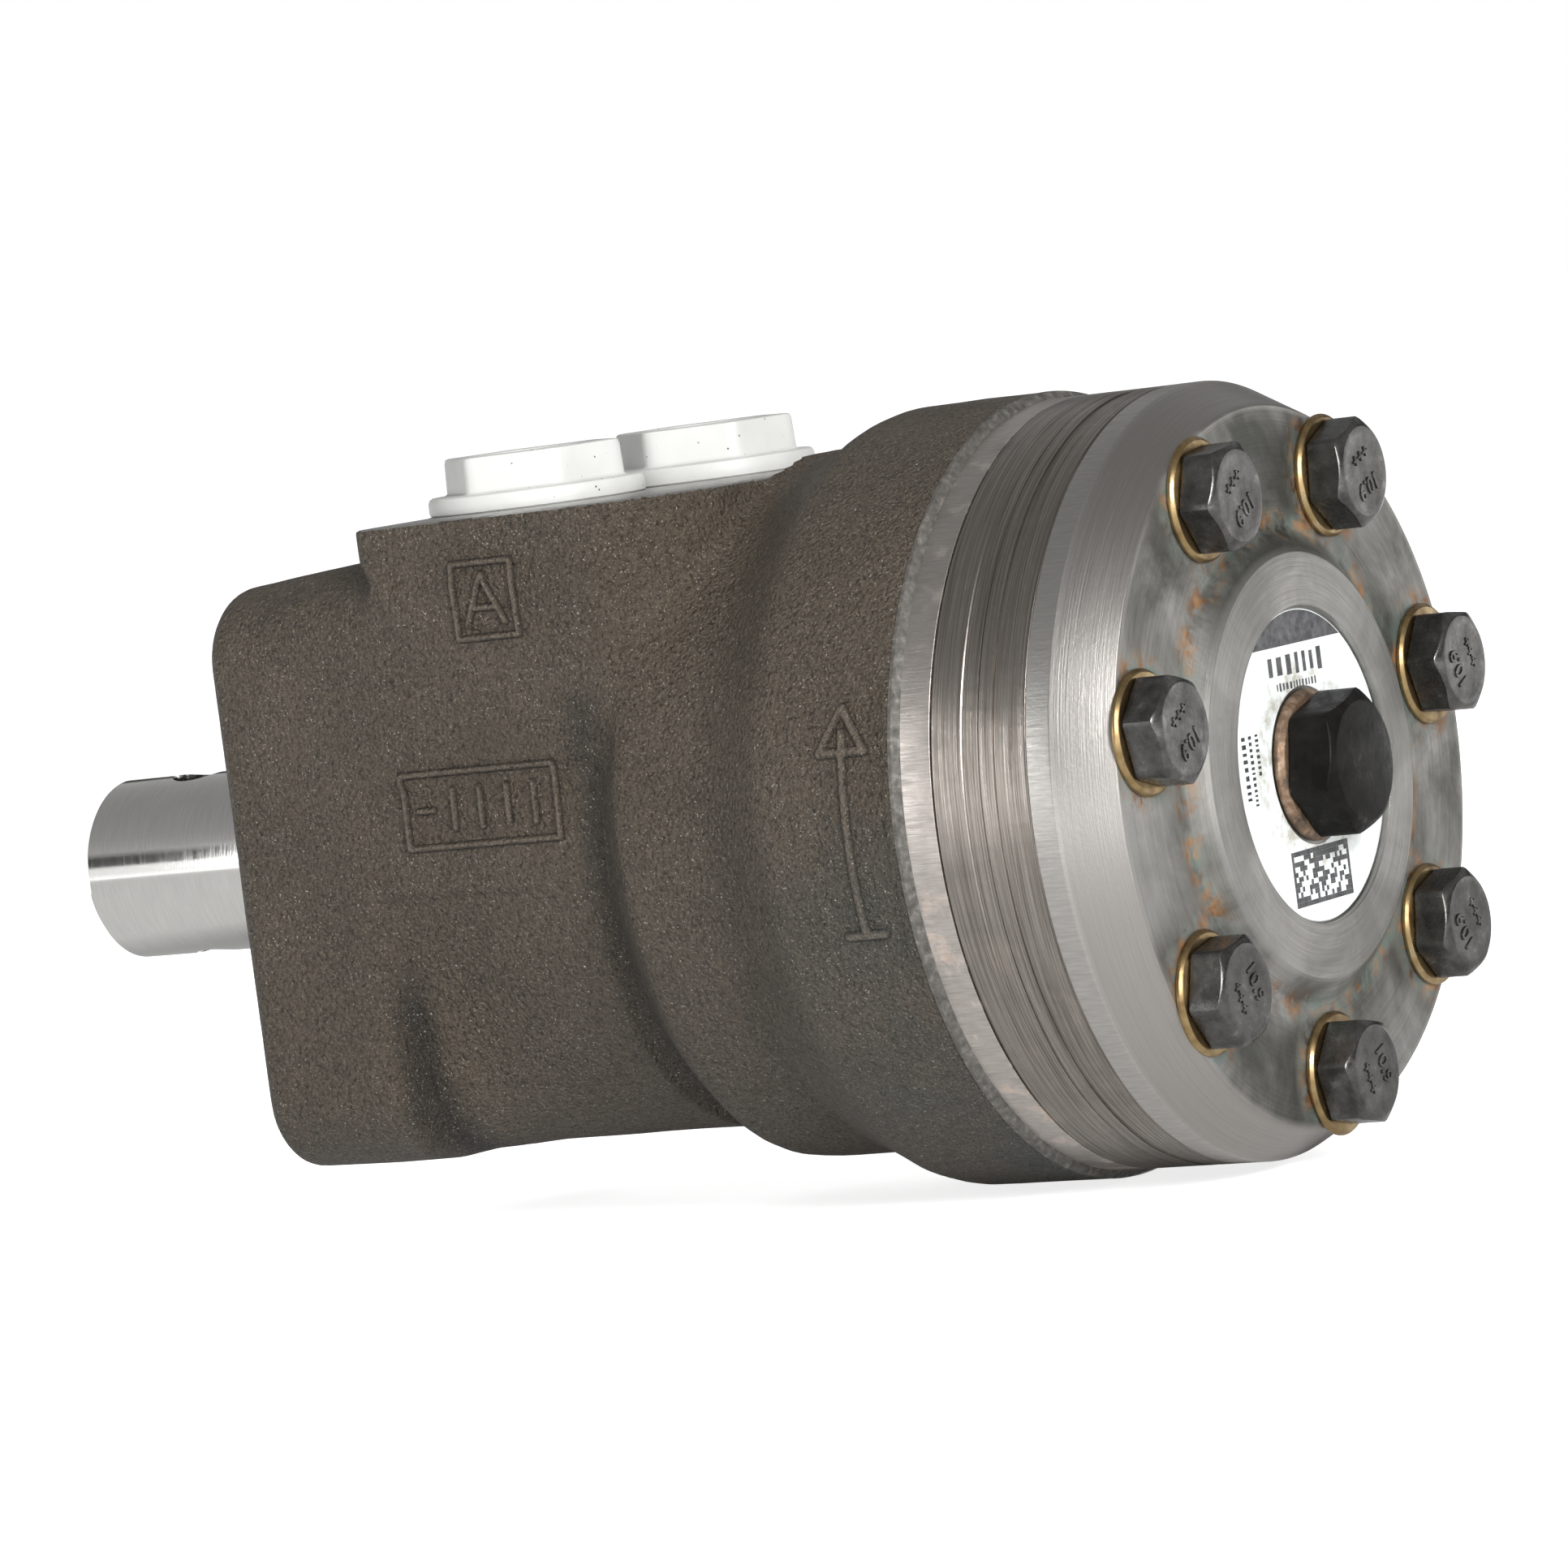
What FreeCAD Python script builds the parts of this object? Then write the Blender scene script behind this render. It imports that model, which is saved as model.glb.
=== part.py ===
import FreeCAD, Part
import math
import os

import Sketcher

# Orbital (gerotor with rollers) hydraulic motor, 50 cc class.
# The origin is on the shaft axis at the mounting face. +X runs out of the motor along the output
# shaft, +Z points up through the two ports. Angles round the shaft run from +Y towards +Z.

TEETH = 12
LOBES = 6
ROLLERS = LOBES + 1
BOLT_STEP = 360.0 / ROLLERS
LOWEST_BOLT = 270.0
TOP = 90.0
NEEDLES = 20
OUTLINE_STEPS = 240
# Each check valve, and the roller it stands in line with.
VALVES = {"a": 6, "b": 1}
# How far each cover bolt's hexagon is turned, from the lowest bolt round.
BOLT_TURNS = (42.0, 19.0, 45.0, 22.0, 7.0, 36.0, 12.0)
PLUG_TURN = 14.0
PORT_PLUG_TURNS = {"a": 107.5, "b": 111.7}

SIZES = {
    "axis": 0.0,
    # Output shaft, from its free end inwards.
    "shaft_end": 46.3,
    "shaft_radius": 12.7,
    "shaft_bevel": 1.2,
    "cross_hole_place": 32.6,
    "cross_hole_radius": 4.0,
    "cross_hole_start": -15.0,
    "cross_hole_stop": 15.0,
    "neck_front": 4.4,
    "neck_radius": 14.28,
    "neck_bevel": 1.0,
    "spool_front": -16.4,
    "spool_rear": -116.7,
    "spool_radius": 19.0,
    "groove_a_front": -36.0,
    "groove_a_rear": -43.0,
    "groove_b_front": -70.0,
    "groove_b_rear": -77.0,
    "groove_floor": 16.5,
    "slot_a_end": -66.0,
    "slot_b_end": -47.0,
    "slot_width": 3.6,
    "hollow_radius": 12.5,
    "hollow_floor": -56.5,
    "socket_floor": -42.0,
    "centre_radius": 3.0,
    "centre_depth": 43.5,
    "slot_overrun": 20.0,
    # Housing casting.
    "pilot_front": 2.8,
    "pilot_radius": 22.2,
    "mount_face": 0.0,
    "flange_rear": -22.0,
    "flange_half_width": 41.0,
    "flange_half_height": 40.3,
    "flange_corner": 10.0,
    "flange_edge": 2.0,
    "mount_circle_radius": 41.25,
    "mount_hole_radius": 4.25,
    "mount_hole_end": -15.0,
    "waist_radius": 40.8,
    "waist_half_width": 40.3,
    "waist_side_end": -64.0,
    "taper_rear": -52.0,
    "taper_half_width": 40.2,
    "taper_corner_front": 12.0,
    "taper_corner_rear": 39.9,
    "side_foot": -1.0,
    "block_front": -28.0,
    "block_rear": -77.0,
    "block_half_width": 41.5,
    "block_corner": 17.0,
    "block_foot": 18.0,
    "port_face": 45.5,
    "above_ports": 48.0,
    "collar_foot": -60.5,
    "collar_crest": -66.5,
    "collar_back": -81.5,
    "collar_radius": 46.8,
    "bell_crest": -91.5,
    "bell_radius": 52.25,
    "bell_rear": -111.7,
    "band_front": -112.5,
    "rear_face": -116.94,
    "stack_radius": 51.0,
    "front_overrun": 5.0,
    "rear_overrun": -119.0,
    # Bores of the housing, from the front.
    "dust_seal_seat": -2.2,
    "dust_seal_bore": 18.0,
    "neck_bore": 14.9,
    "shaft_seal_seat": -4.2,
    "shaft_seal_bore": 17.6,
    "bearing_seat": -10.4,
    "spool_bore": 19.05,
    # Ports, seen from above: a towards +Y and nearer the flange.
    "port_a_place": -39.5,
    "port_b_place": -49.5,
    "port_offset": 14.0,
    "port_radius": 10.3,
    "port_floor": 31.5,
    "port_seat_radius": 12.1,
    "port_seat_floor": 43.0,
    "gallery_radius": 4.0,
    "gallery_a_end": 8.0,
    "gallery_b_place": -52.0,
    "gallery_b_offset": -20.0,
    "gallery_b_end": 17.0,
    "cross_gallery_front": -50.0,
    "cross_gallery_rear": -77.0,
    "cross_gallery_radius": 3.5,
    "cross_gallery_foot": -73.5,
    "passage_circle": 28.5,
    "passage_radius": 3.0,
    "passage_end": -54.0,
    "window_place": -57.0,
    "window_radius": 2.2,
    "window_start": 17.5,
    # Check valves in the rear face of the housing.
    "valve_pocket_radius": 3.6,
    "valve_seat": -108.0,
    "valve_seat_radius": 2.0,
    "valve_drain": -101.0,
    "valve_drain_radius": 1.6,
    "valve_ball_radius": 3.0,
    "valve_ball_place": -110.27,
    "retainer_front": -114.4,
    "retainer_rear": -116.6,
    "retainer_radius": 3.58,
    # Spacer plate, gear ring and end cover, with the bolts that hold them.
    "plate_rear": -121.74,
    "plate_bore": 12.5,
    "ring_rear": -130.74,
    "cover_band": -134.3,
    "cover_flat": -141.7,
    "cover_flat_radius": 47.1,
    "boss_foot_radius": 30.6,
    "boss_edge": -144.26,
    "boss_edge_radius": 27.7,
    "boss_inner": -144.56,
    "recess_radius": 20.72,
    "recess_floor": -143.6,
    "drain_radius": 5.9,
    "cover_fillet": 1.6,
    "bolt_circle": 40.4,
    "bolt_hole_radius": 4.4,
    "bolt_radius": 3.97,
    "bolt_thread_radius": 4.0,
    "bolt_thread_end": -98.0,
    "bolt_tip": -101.0,
    "bolt_flats": 13.0,
    "bolt_face": -147.93,
    "bolt_face_radius": 6.15,
    "washer_rear": -142.8,
    "washer_radius": 8.15,
    "washer_bore": 4.3,
    "seal_groove_inner": 46.3,
    "seal_groove_outer": 48.7,
    "seal_groove_depth": 1.6,
    "seal_radius": 47.5,
    "seal_section": 0.78,
    # Gear set.
    "roller_circle": 32.0,
    "roller_radius": 5.75,
    "pocket_radius": 5.8,
    "ring_inner_radius": 31.8,
    "rotor_offset": 2.6,
    "rotor_clearance": 0.04,
    "gear_side_clearance": 0.02,
    "roller_front": -121.76,
    "roller_rear": -130.72,
    # Drive link and the splines at its ends.
    "link_front": -43.5,
    "link_pivot": -49.5,
    "rotor_pivot": -125.0,
    "link_front_head": -55.5,
    "link_rear_head": -122.5,
    "link_rear": -128.0,
    "link_neck_radius": 7.5,
    "spline_root": 8.9,
    "spline_tip": 10.4,
    "spline_tooth": 2.3,
    "spline_end_radius": 10.1,
    "socket_inner": 9.25,
    "socket_outer": 10.75,
    "socket_space": 2.9,
    "spacer_front": -128.4,
    "spacer_radius": 8.6,
    # Drain plug in the middle of the cover.
    "drain_washer_rear": -145.1,
    "drain_washer_radius": 9.9,
    "drain_washer_bore": 6.0,
    "plug_flats": 17.0,
    "plug_face": -151.79,
    "plug_face_radius": 8.2,
    "plug_radius": 5.85,
    "plug_tip": -132.5,
    "label_radius": 20.4,
    "label_bore": 10.3,
    "label_rear": -143.75,
    # Front seals and the thrust bearing.
    "dust_seal_front": 2.6,
    "dust_seal_shoulder": 1.2,
    "dust_seal_outer": 17.98,
    "dust_seal_crease": 15.7,
    "dust_seal_nose": 15.0,
    "seal_lip_radius": 14.34,
    "shaft_seal_outer": 17.58,
    "shaft_seal_heel": 16.6,
    "shaft_seal_trough": 15.7,
    "shaft_seal_trough_floor": -7.2,
    "shaft_seal_toe": 15.0,
    "shaft_seal_front": -4.2,
    "shaft_seal_rear": -9.2,
    "backup_rear": -10.3,
    "thrust_front": -12.4,
    "thrust_rear": -14.4,
    "thrust_inner": 14.6,
    "thrust_outer": 18.7,
    "cage_front": -12.75,
    "cage_rear": -14.05,
    "cage_inner": 14.8,
    "cage_outer": 18.6,
    "cage_pocket_radius": 1.0,
    "cage_pocket_inner": 15.25,
    "cage_pocket_outer": 18.15,
    "needle_place": -13.4,
    "needle_radius": 0.95,
    "needle_inner": 15.3,
    "needle_outer": 18.1,
    # White plastic plugs that close the ports.
    "port_plug_disc_radius": 14.75,
    "port_plug_disc_top": 48.0,
    "port_plug_flats": 22.0,
    "port_plug_top": 53.0,
    "port_plug_shank": 10.25,
    "port_plug_foot": 34.5,
    "port_plug_hollow": 8.4,
    "port_plug_hollow_floor": 37.0,
    "port_plug_clear": 60.0,
    "port_seal_height": 44.8,
    "port_seal_radius": 10.85,
    "port_seal_section": 0.55,
}

X_AXIS = FreeCAD.Vector(1, 0, 0)
Z_AXIS = FreeCAD.Vector(0, 0, 1)
# Turns a shape's own Z axis on to +X, its own X axis on to +Y and its own Y axis on to +Z.
Z_ON_X = FreeCAD.Rotation(FreeCAD.Vector(1, 1, 1), 120)
NEAR = 0.01

doc = FreeCAD.newDocument("OrbitalMotor")
sheet = doc.addObject("Spreadsheet::Sheet", "Sizes")
for line, (alias, number) in enumerate(SIZES.items(), start=1):
    sheet.set(f"A{line}", alias)
    sheet.set(f"B{line}", str(number))
    sheet.setAlias(f"B{line}", alias)
doc.recompute()

nodes = []


def cell(alias):
    """The expression that reads one size from the sheet."""
    return f"Sizes.{alias}"


def keep(shape_object, label):
    """Give a finished sub-part its name and put it on the list of nodes to write."""
    shape_object.Label = label
    nodes.append(shape_object)
    return shape_object


def bind(shape_object, **expressions):
    """Bind properties of an object to expressions; pos_x means Placement.Base.x, and so on."""
    for name, expression in expressions.items():
        path = name.replace("pos_", ".Placement.Base.")
        shape_object.setExpression(path, expression)


def polar(radius, angle):
    """Expressions for the Y and Z of a place at a radius (an alias) and an angle round the shaft."""
    return f"{cell(radius)} * cos({angle})", f"{cell(radius)} * sin({angle})"


# ---------------------------------------------------------------- building blocks


def signed(alias):
    """The number and the expression of a size, or of its negative when a minus sign leads."""
    name = alias.lstrip("-")
    if alias.startswith("-"):
        return -SIZES[name], f"-{cell(name)}"
    return SIZES[name], cell(name)


def pin_coordinate(sketch, corner, direction, alias):
    """Hold one coordinate of a line's start point at a size on the sheet."""
    number, expression = signed(alias)
    if number == 0.0:
        own_axis = -2 if direction == "DistanceX" else -1
        sketch.addConstraint(Sketcher.Constraint("PointOnObject", corner, 1, own_axis))
    elif number > 0.0:
        index = sketch.addConstraint(Sketcher.Constraint(direction, -1, 1, corner, 1, number))
        sketch.setExpression(f"Constraints[{index}]", expression)
    else:
        index = sketch.addConstraint(Sketcher.Constraint(direction, corner, 1, -1, 1, -number))
        sketch.setExpression(f"Constraints[{index}]", f"-({expression})")


def new_sketch(body, name, plane_role):
    """A sketch on one of the body's own origin planes."""
    sketch = body.newObject("Sketcher::SketchObject", name)
    plane = next(item for item in body.Origin.OriginFeatures if item.Role == plane_role)
    sketch.AttachmentSupport = (plane, [""])
    sketch.MapMode = "FlatFace"
    return sketch


def closed_outline(sketch, corners):
    """Straight lines round the corners, each corner held by two sizes from the sheet."""
    points = [FreeCAD.Vector(signed(first)[0], signed(second)[0], 0) for first, second in corners]
    for index, point in enumerate(points):
        sketch.addGeometry(Part.LineSegment(point, points[(index + 1) % len(points)]), False)
    for index, (first, second) in enumerate(corners):
        following = (index + 1) % len(corners)
        sketch.addConstraint(Sketcher.Constraint("Coincident", index, 2, following, 1))
        pin_coordinate(sketch, index, "DistanceX", first)
        pin_coordinate(sketch, index, "DistanceY", second)


def turned(name, *corners):
    """A body turned about the shaft axis from a closed outline of (station, radius) sizes."""
    body = doc.addObject("PartDesign::Body", name)
    sketch = new_sketch(body, f"{name}_profile", "XY_Plane")
    closed_outline(sketch, corners)
    revolution = body.newObject("PartDesign::Revolution", f"{name}_turned")
    revolution.Profile = sketch
    revolution.ReferenceAxis = (sketch, ["H_Axis"])
    revolution.Angle = 360.0
    return body


def padded(name, plane_role, length, corners, backwards=False):
    """A body padded from a closed outline on an origin plane; length is an expression."""
    body = doc.addObject("PartDesign::Body", name)
    sketch = new_sketch(body, f"{name}_outline", plane_role)
    closed_outline(sketch, corners)
    pad = body.newObject("PartDesign::Pad", f"{name}_pad")
    pad.Profile = sketch
    pad.Reversed = backwards
    pad.setExpression("Length", length)
    return body


def rounded_square(name, station, half, radius):
    """A sketch across the shaft axis: a square with arcs for corners, for a loft."""
    sketch = doc.addObject("Sketcher::SketchObject", name)
    sketch.Placement = FreeCAD.Placement(FreeCAD.Vector(SIZES[station], 0, 0), Z_ON_X)
    sketch.setExpression("Placement.Base.x", cell(station))
    size, corner = SIZES[half], SIZES[radius]
    inner = size - corner
    for quarter in range(4):
        turn = FreeCAD.Rotation(Z_AXIS, 90 * quarter)
        side = [turn.multVec(FreeCAD.Vector(size, end * inner, 0)) for end in (-1, 1)]
        sketch.addGeometry(Part.LineSegment(*side), False)
        middle = turn.multVec(FreeCAD.Vector(inner, inner, 0))
        circle = Part.Circle(middle, Z_AXIS, corner)
        start = math.radians(90 * quarter)
        sketch.addGeometry(Part.ArcOfCircle(circle, start, start + math.pi / 2), False)
    for quarter in range(4):
        line, arc = 2 * quarter, 2 * quarter + 1
        sketch.addConstraint(Sketcher.Constraint("Tangent", line, 2, arc, 1))
        sketch.addConstraint(Sketcher.Constraint("Tangent", arc, 2, (line + 2) % 8, 1))
        sketch.addConstraint(Sketcher.Constraint("Vertical" if quarter % 2 == 0 else "Horizontal", line))
        if quarter:
            sketch.addConstraint(Sketcher.Constraint("Equal", 1, arc))
    rounding = sketch.addConstraint(Sketcher.Constraint("Radius", 1, corner))
    sketch.setExpression(f"Constraints[{rounding}]", cell(radius))
    for line, direction, alias in (
        (0, "DistanceX", half),
        (2, "DistanceY", half),
        (4, "DistanceX", f"-{half}"),
        (6, "DistanceY", f"-{half}"),
    ):
        pin_coordinate(sketch, line, direction, alias)
    return sketch


def eased(body, kind, size, wanted):
    """Fillet or chamfer the edges of a body that wanted() picks, by a size from the sheet."""
    doc.recompute()
    base = body.Tip
    edges = [f"Edge{number}" for number, edge in enumerate(base.Shape.Edges, start=1) if wanted(edge)]
    feature = body.newObject(f"PartDesign::{kind}", f"{body.Name}_{kind.lower()}_{size}")
    feature.Base = (base, edges)
    feature.setExpression("Radius" if kind == "Fillet" else "Size", cell(size))
    return body


def on_circle(station, radius):
    """A test for the round edge of a turned body at one station and radius."""

    def wanted(edge):
        if not isinstance(edge.Curve, Part.Circle):
            return False
        place = (edge.Curve.Center.x, edge.Curve.Radius)
        return math.dist(place, (SIZES[station], SIZES[radius])) < NEAR

    return wanted


def spans(edge, axis):
    """How far an edge's two ends are apart along one axis."""
    ends = [vertex.Point for vertex in edge.Vertexes]
    return abs(ends[0][axis] - ends[-1][axis])


def lies_at(edge, alias):
    """Whether the whole of an edge is at one station."""
    return all(abs(vertex.X - SIZES[alias]) < NEAR for vertex in edge.Vertexes)


def rod(name, radius, rear, front, y="0", z="0"):
    """A cylinder along the shaft between two stations; y and z are expressions."""
    shape = doc.addObject("Part::Cylinder", name)
    shape.Placement.Rotation = Z_ON_X
    bind(shape, Radius=cell(radius), Height=f"{cell(front)} - {cell(rear)}")
    bind(shape, pos_x=cell(rear), pos_y=y, pos_z=z)
    return shape


def post(name, radius, bottom, top, x, y):
    """An upright cylinder between two heights; x and y are expressions."""
    shape = doc.addObject("Part::Cylinder", name)
    bind(shape, Radius=cell(radius), Height=f"{cell(top)} - {cell(bottom)}")
    bind(shape, pos_x=x, pos_y=y, pos_z=cell(bottom))
    return shape


def spoke(name, radius, station, angle, inner, outer):
    """A cylinder that runs outwards from the shaft axis at an angle, between two radii."""
    shape = doc.addObject("Part::Cylinder", name)
    shape.Placement.Rotation = FreeCAD.Rotation(X_AXIS, angle - 90)
    y, z = polar(inner, angle)
    bind(shape, Radius=cell(radius), Height=f"{cell(outer)} - {cell(inner)}")
    bind(shape, pos_x=cell(station), pos_y=y, pos_z=z)
    return shape


def slab(name, length, width, height, x, y, z):
    """A box from sheet expressions, placed by its lowest corner."""
    shape = doc.addObject("Part::Box", name)
    bind(shape, Length=length, Width=width, Height=height, pos_x=x, pos_y=y, pos_z=z)
    return shape


def hexagon(name, flats, rear, front, turn, y="0", z="0"):
    """A hexagonal bar along the shaft; turn is the angle of one of its corners."""
    shape = doc.addObject("Part::Prism", name)
    shape.Polygon = 6
    shape.Placement.Rotation = FreeCAD.Rotation(X_AXIS, turn) * Z_ON_X
    bind(shape, Circumradius=f"{cell(flats)} / sqrt(3)", Height=f"{cell(front)} - {cell(rear)}")
    bind(shape, pos_x=cell(rear), pos_y=y, pos_z=z)
    return shape


def fused(name, *shapes):
    result = doc.addObject("Part::MultiFuse", name)
    result.Shapes = list(shapes)
    return result


def cut(name, base, *tools):
    result = doc.addObject("Part::Cut", name)
    result.Base = base
    result.Tool = tools[0] if len(tools) == 1 else fused(f"{name}_tools", *tools)
    return result


def common(name, first, second):
    result = doc.addObject("Part::MultiCommon", name)
    result.Shapes = [first, second]
    return result


def grouped(name, shapes):
    """Several separate solids that share one node."""
    result = doc.addObject("Part::Compound", name)
    result.Links = list(shapes)
    return result


def spline_bar(name, core, tip, tooth, rear, front, y="0", z="0"):
    """A straight-sided spline as a bar: a core with crossing blades, two teeth to each blade."""
    parts = [rod(f"{name}_core", core, rear, front, y, z)]
    for blade in range(TEETH // 2):
        angle = blade * 360.0 / TEETH
        shape = doc.addObject("Part::Box", f"{name}_blade_{blade}")
        shape.Placement.Rotation = FreeCAD.Rotation(X_AXIS, angle)
        bind(shape, Length=f"{cell(front)} - {cell(rear)}", Width=f"2 * {cell(tip)}", Height=cell(tooth))
        half_y = f"{cell(tip)} * cos({angle}) - {cell(tooth)} / 2 * sin({angle})"
        half_z = f"{cell(tip)} * sin({angle}) + {cell(tooth)} / 2 * cos({angle})"
        bind(shape, pos_x=cell(rear), pos_y=f"{y} - ({half_y})", pos_z=f"{z} - ({half_z})")
        parts.append(shape)
    return fused(name, *parts)


def cone(name, big_radius, small_radius, rear, front, y="0", z="0"):
    """A cone along the shaft that narrows towards its rear; the radii are expressions."""
    shape = doc.addObject("Part::Cone", name)
    shape.Placement.Rotation = Z_ON_X
    bind(shape, Radius1=small_radius, Radius2=big_radius, Height=f"{cell(front)} - {cell(rear)}")
    bind(shape, pos_x=cell(rear), pos_y=y, pos_z=z)
    return shape


def hex_head(name, flats, face, face_radius, seat, turn, y="0", z="0"):
    """A hexagonal head whose outer corners are chamfered at 30 degrees."""
    bar = hexagon(f"{name}_bar", flats, face, seat, turn, y, z)
    wide = f"{cell(face_radius)} + sqrt(3) * ({cell(seat)} - {cell(face)})"
    crown = cone(f"{name}_crown", wide, cell(face_radius), face, seat, y, z)
    return common(f"{name}_head", bar, crown)


def seal_ring(name, station, inwards):
    """A rubber ring in its groove; inwards is the way from the joint face into the groove."""
    ring = doc.addObject("Part::Torus", name)
    ring.Placement.Rotation = Z_ON_X
    bind(ring, Radius1=cell("seal_radius"), Radius2=cell("seal_section"))
    bind(ring, pos_x=f"{cell(station)} + {inwards} * {cell('seal_groove_depth')} / 2")
    return keep(ring, name)


def seal_groove(name, station, inwards):
    """The cutter for the groove that holds a rubber ring."""
    depth = f"{cell('seal_groove_depth')}"
    ring = doc.addObject("Part::Cylinder", f"{name}_outer")
    core = doc.addObject("Part::Cylinder", f"{name}_inner")
    for shape, radius in ((ring, "seal_groove_outer"), (core, "seal_groove_inner")):
        shape.Placement.Rotation = Z_ON_X
        bind(shape, Radius=cell(radius), Height=f"2 * {depth}", pos_x=f"{cell(station)} - {depth}")
    return cut(name, ring, core)


def bolt_angle(index):
    return LOWEST_BOLT + index * BOLT_STEP


def roller_angle(index):
    return TOP + index * BOLT_STEP


def bolt_holes(name, radius, rear, front):
    """One hole for each cover bolt, between two stations."""
    holes = []
    for index in range(ROLLERS):
        y, z = polar("bolt_circle", bolt_angle(index))
        holes.append(rod(f"{name}_{index}", radius, rear, front, y, z))
    return holes


# ---------------------------------------------------------------- housing


def casting():
    """The outside of the housing: square flange, waist, port block, collar and bell."""
    flange = padded(
        "flange",
        "YZ_Plane",
        f"-{cell('flange_rear')}",
        [
            ("-flange_half_width", "-flange_half_height"),
            ("flange_half_width", "-flange_half_height"),
            ("flange_half_width", "flange_half_height"),
            ("-flange_half_width", "flange_half_height"),
        ],
        backwards=True,
    )
    eased(flange, "Fillet", "flange_corner", lambda edge: spans(edge, 0) > 1)
    eased(flange, "Fillet", "flange_edge", lambda edge: lies_at(edge, "mount_face"))
    block = padded(
        "port_block",
        "XY_Plane",
        f"{cell('port_face')} - {cell('block_foot')}",
        [
            ("block_rear", "-block_half_width"),
            ("block_front", "-block_half_width"),
            ("block_front", "block_half_width"),
            ("block_rear", "block_half_width"),
        ],
    )
    eased(block, "Fillet", "block_corner", lambda edge: lies_at(edge, "block_rear") and spans(edge, 2) > 1)
    bind(block, pos_z=cell("block_foot"))
    waist = rod("waist", "waist_radius", "waist_side_end", "flange_rear")
    sides = slab(
        "waist_sides",
        f"{cell('flange_rear')} - {cell('waist_side_end')}",
        f"2 * {cell('waist_half_width')}",
        f"{cell('flange_half_height')} - {cell('side_foot')}",
        cell("waist_side_end"),
        f"-{cell('waist_half_width')}",
        cell("side_foot"),
    )
    taper = doc.addObject("Part::Loft", "lug_taper")
    taper.Sections = [
        rounded_square("lug_taper_front", "flange_rear", "taper_half_width", "taper_corner_front"),
        rounded_square("lug_taper_rear", "taper_rear", "taper_half_width", "taper_corner_rear"),
    ]
    taper.Solid = True
    taper.Ruled = True
    bell = turned(
        "bell",
        ("collar_foot", "axis"),
        ("collar_foot", "waist_radius"),
        ("collar_crest", "collar_radius"),
        ("collar_back", "collar_radius"),
        ("bell_crest", "bell_radius"),
        ("bell_rear", "bell_radius"),
        ("band_front", "stack_radius"),
        ("rear_face", "stack_radius"),
        ("rear_face", "axis"),
    )
    pilot = rod("pilot", "pilot_radius", "mount_face", "pilot_front")
    return fused("casting", flange, block, waist, sides, taper, bell, pilot)


def port_cutters(letter, place, side):
    """The threaded port in the top face, with the sloping seat of its seal ring."""
    y = f"{side} * {cell('port_offset')}"
    hole = post(f"port_{letter}_hole", "port_radius", "port_floor", "above_ports", cell(place), y)
    seat = doc.addObject("Part::Cone", f"port_{letter}_seat")
    bind(seat, Radius1=cell("port_radius"), Radius2=cell("port_seat_radius"))
    bind(seat, Height=f"{cell('port_face')} - {cell('port_seat_floor')}")
    bind(seat, pos_x=cell(place), pos_y=y, pos_z=cell("port_seat_floor"))
    return [hole, seat]


def oil_ways():
    """Galleries from the ports to the spool, and from the spool to the seven chambers."""
    tools = port_cutters("a", "port_a_place", 1) + port_cutters("b", "port_b_place", -1)
    port_a = (cell("port_a_place"), cell("port_offset"))
    tools.append(post("gallery_a", "gallery_radius", "gallery_a_end", "port_floor", *port_a))
    port_b = (cell("gallery_b_place"), cell("gallery_b_offset"))
    tools.append(post("gallery_b", "cross_gallery_radius", "gallery_b_end", "port_floor", *port_b))
    y, z = polar("passage_circle", roller_angle(1))
    span = ("cross_gallery_rear", "cross_gallery_front")
    tools.append(rod("cross_gallery", "cross_gallery_radius", *span, y, z))
    reach = ("window_start", "passage_circle")
    middle = "cross_gallery_foot"
    tools.append(spoke("gallery_b_drop", "passage_radius", middle, roller_angle(1), *reach))
    for index in range(ROLLERS):
        angle = bolt_angle(index)
        y, z = polar("passage_circle", angle)
        tools.append(rod(f"passage_{index}", "passage_radius", "rear_overrun", "passage_end", y, z))
        tools.append(spoke(f"window_{index}", "window_radius", "window_place", angle, *reach))
    return tools


def valve_bores(letter, angle):
    """Pocket, seat and drain of one check valve, drilled from the rear face."""
    y, z = polar("passage_circle", angle)
    pocket = rod(f"valve_{letter}_pocket", "valve_pocket_radius", "rear_overrun", "valve_seat", y, z)
    throat = rod(f"valve_{letter}_throat", "valve_seat_radius", "valve_seat", "valve_drain", y, z)
    reach = ("window_start", "passage_circle")
    drain = spoke(f"valve_{letter}_drain", "valve_drain_radius", "valve_drain", angle, *reach)
    return [pocket, throat, drain]


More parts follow.
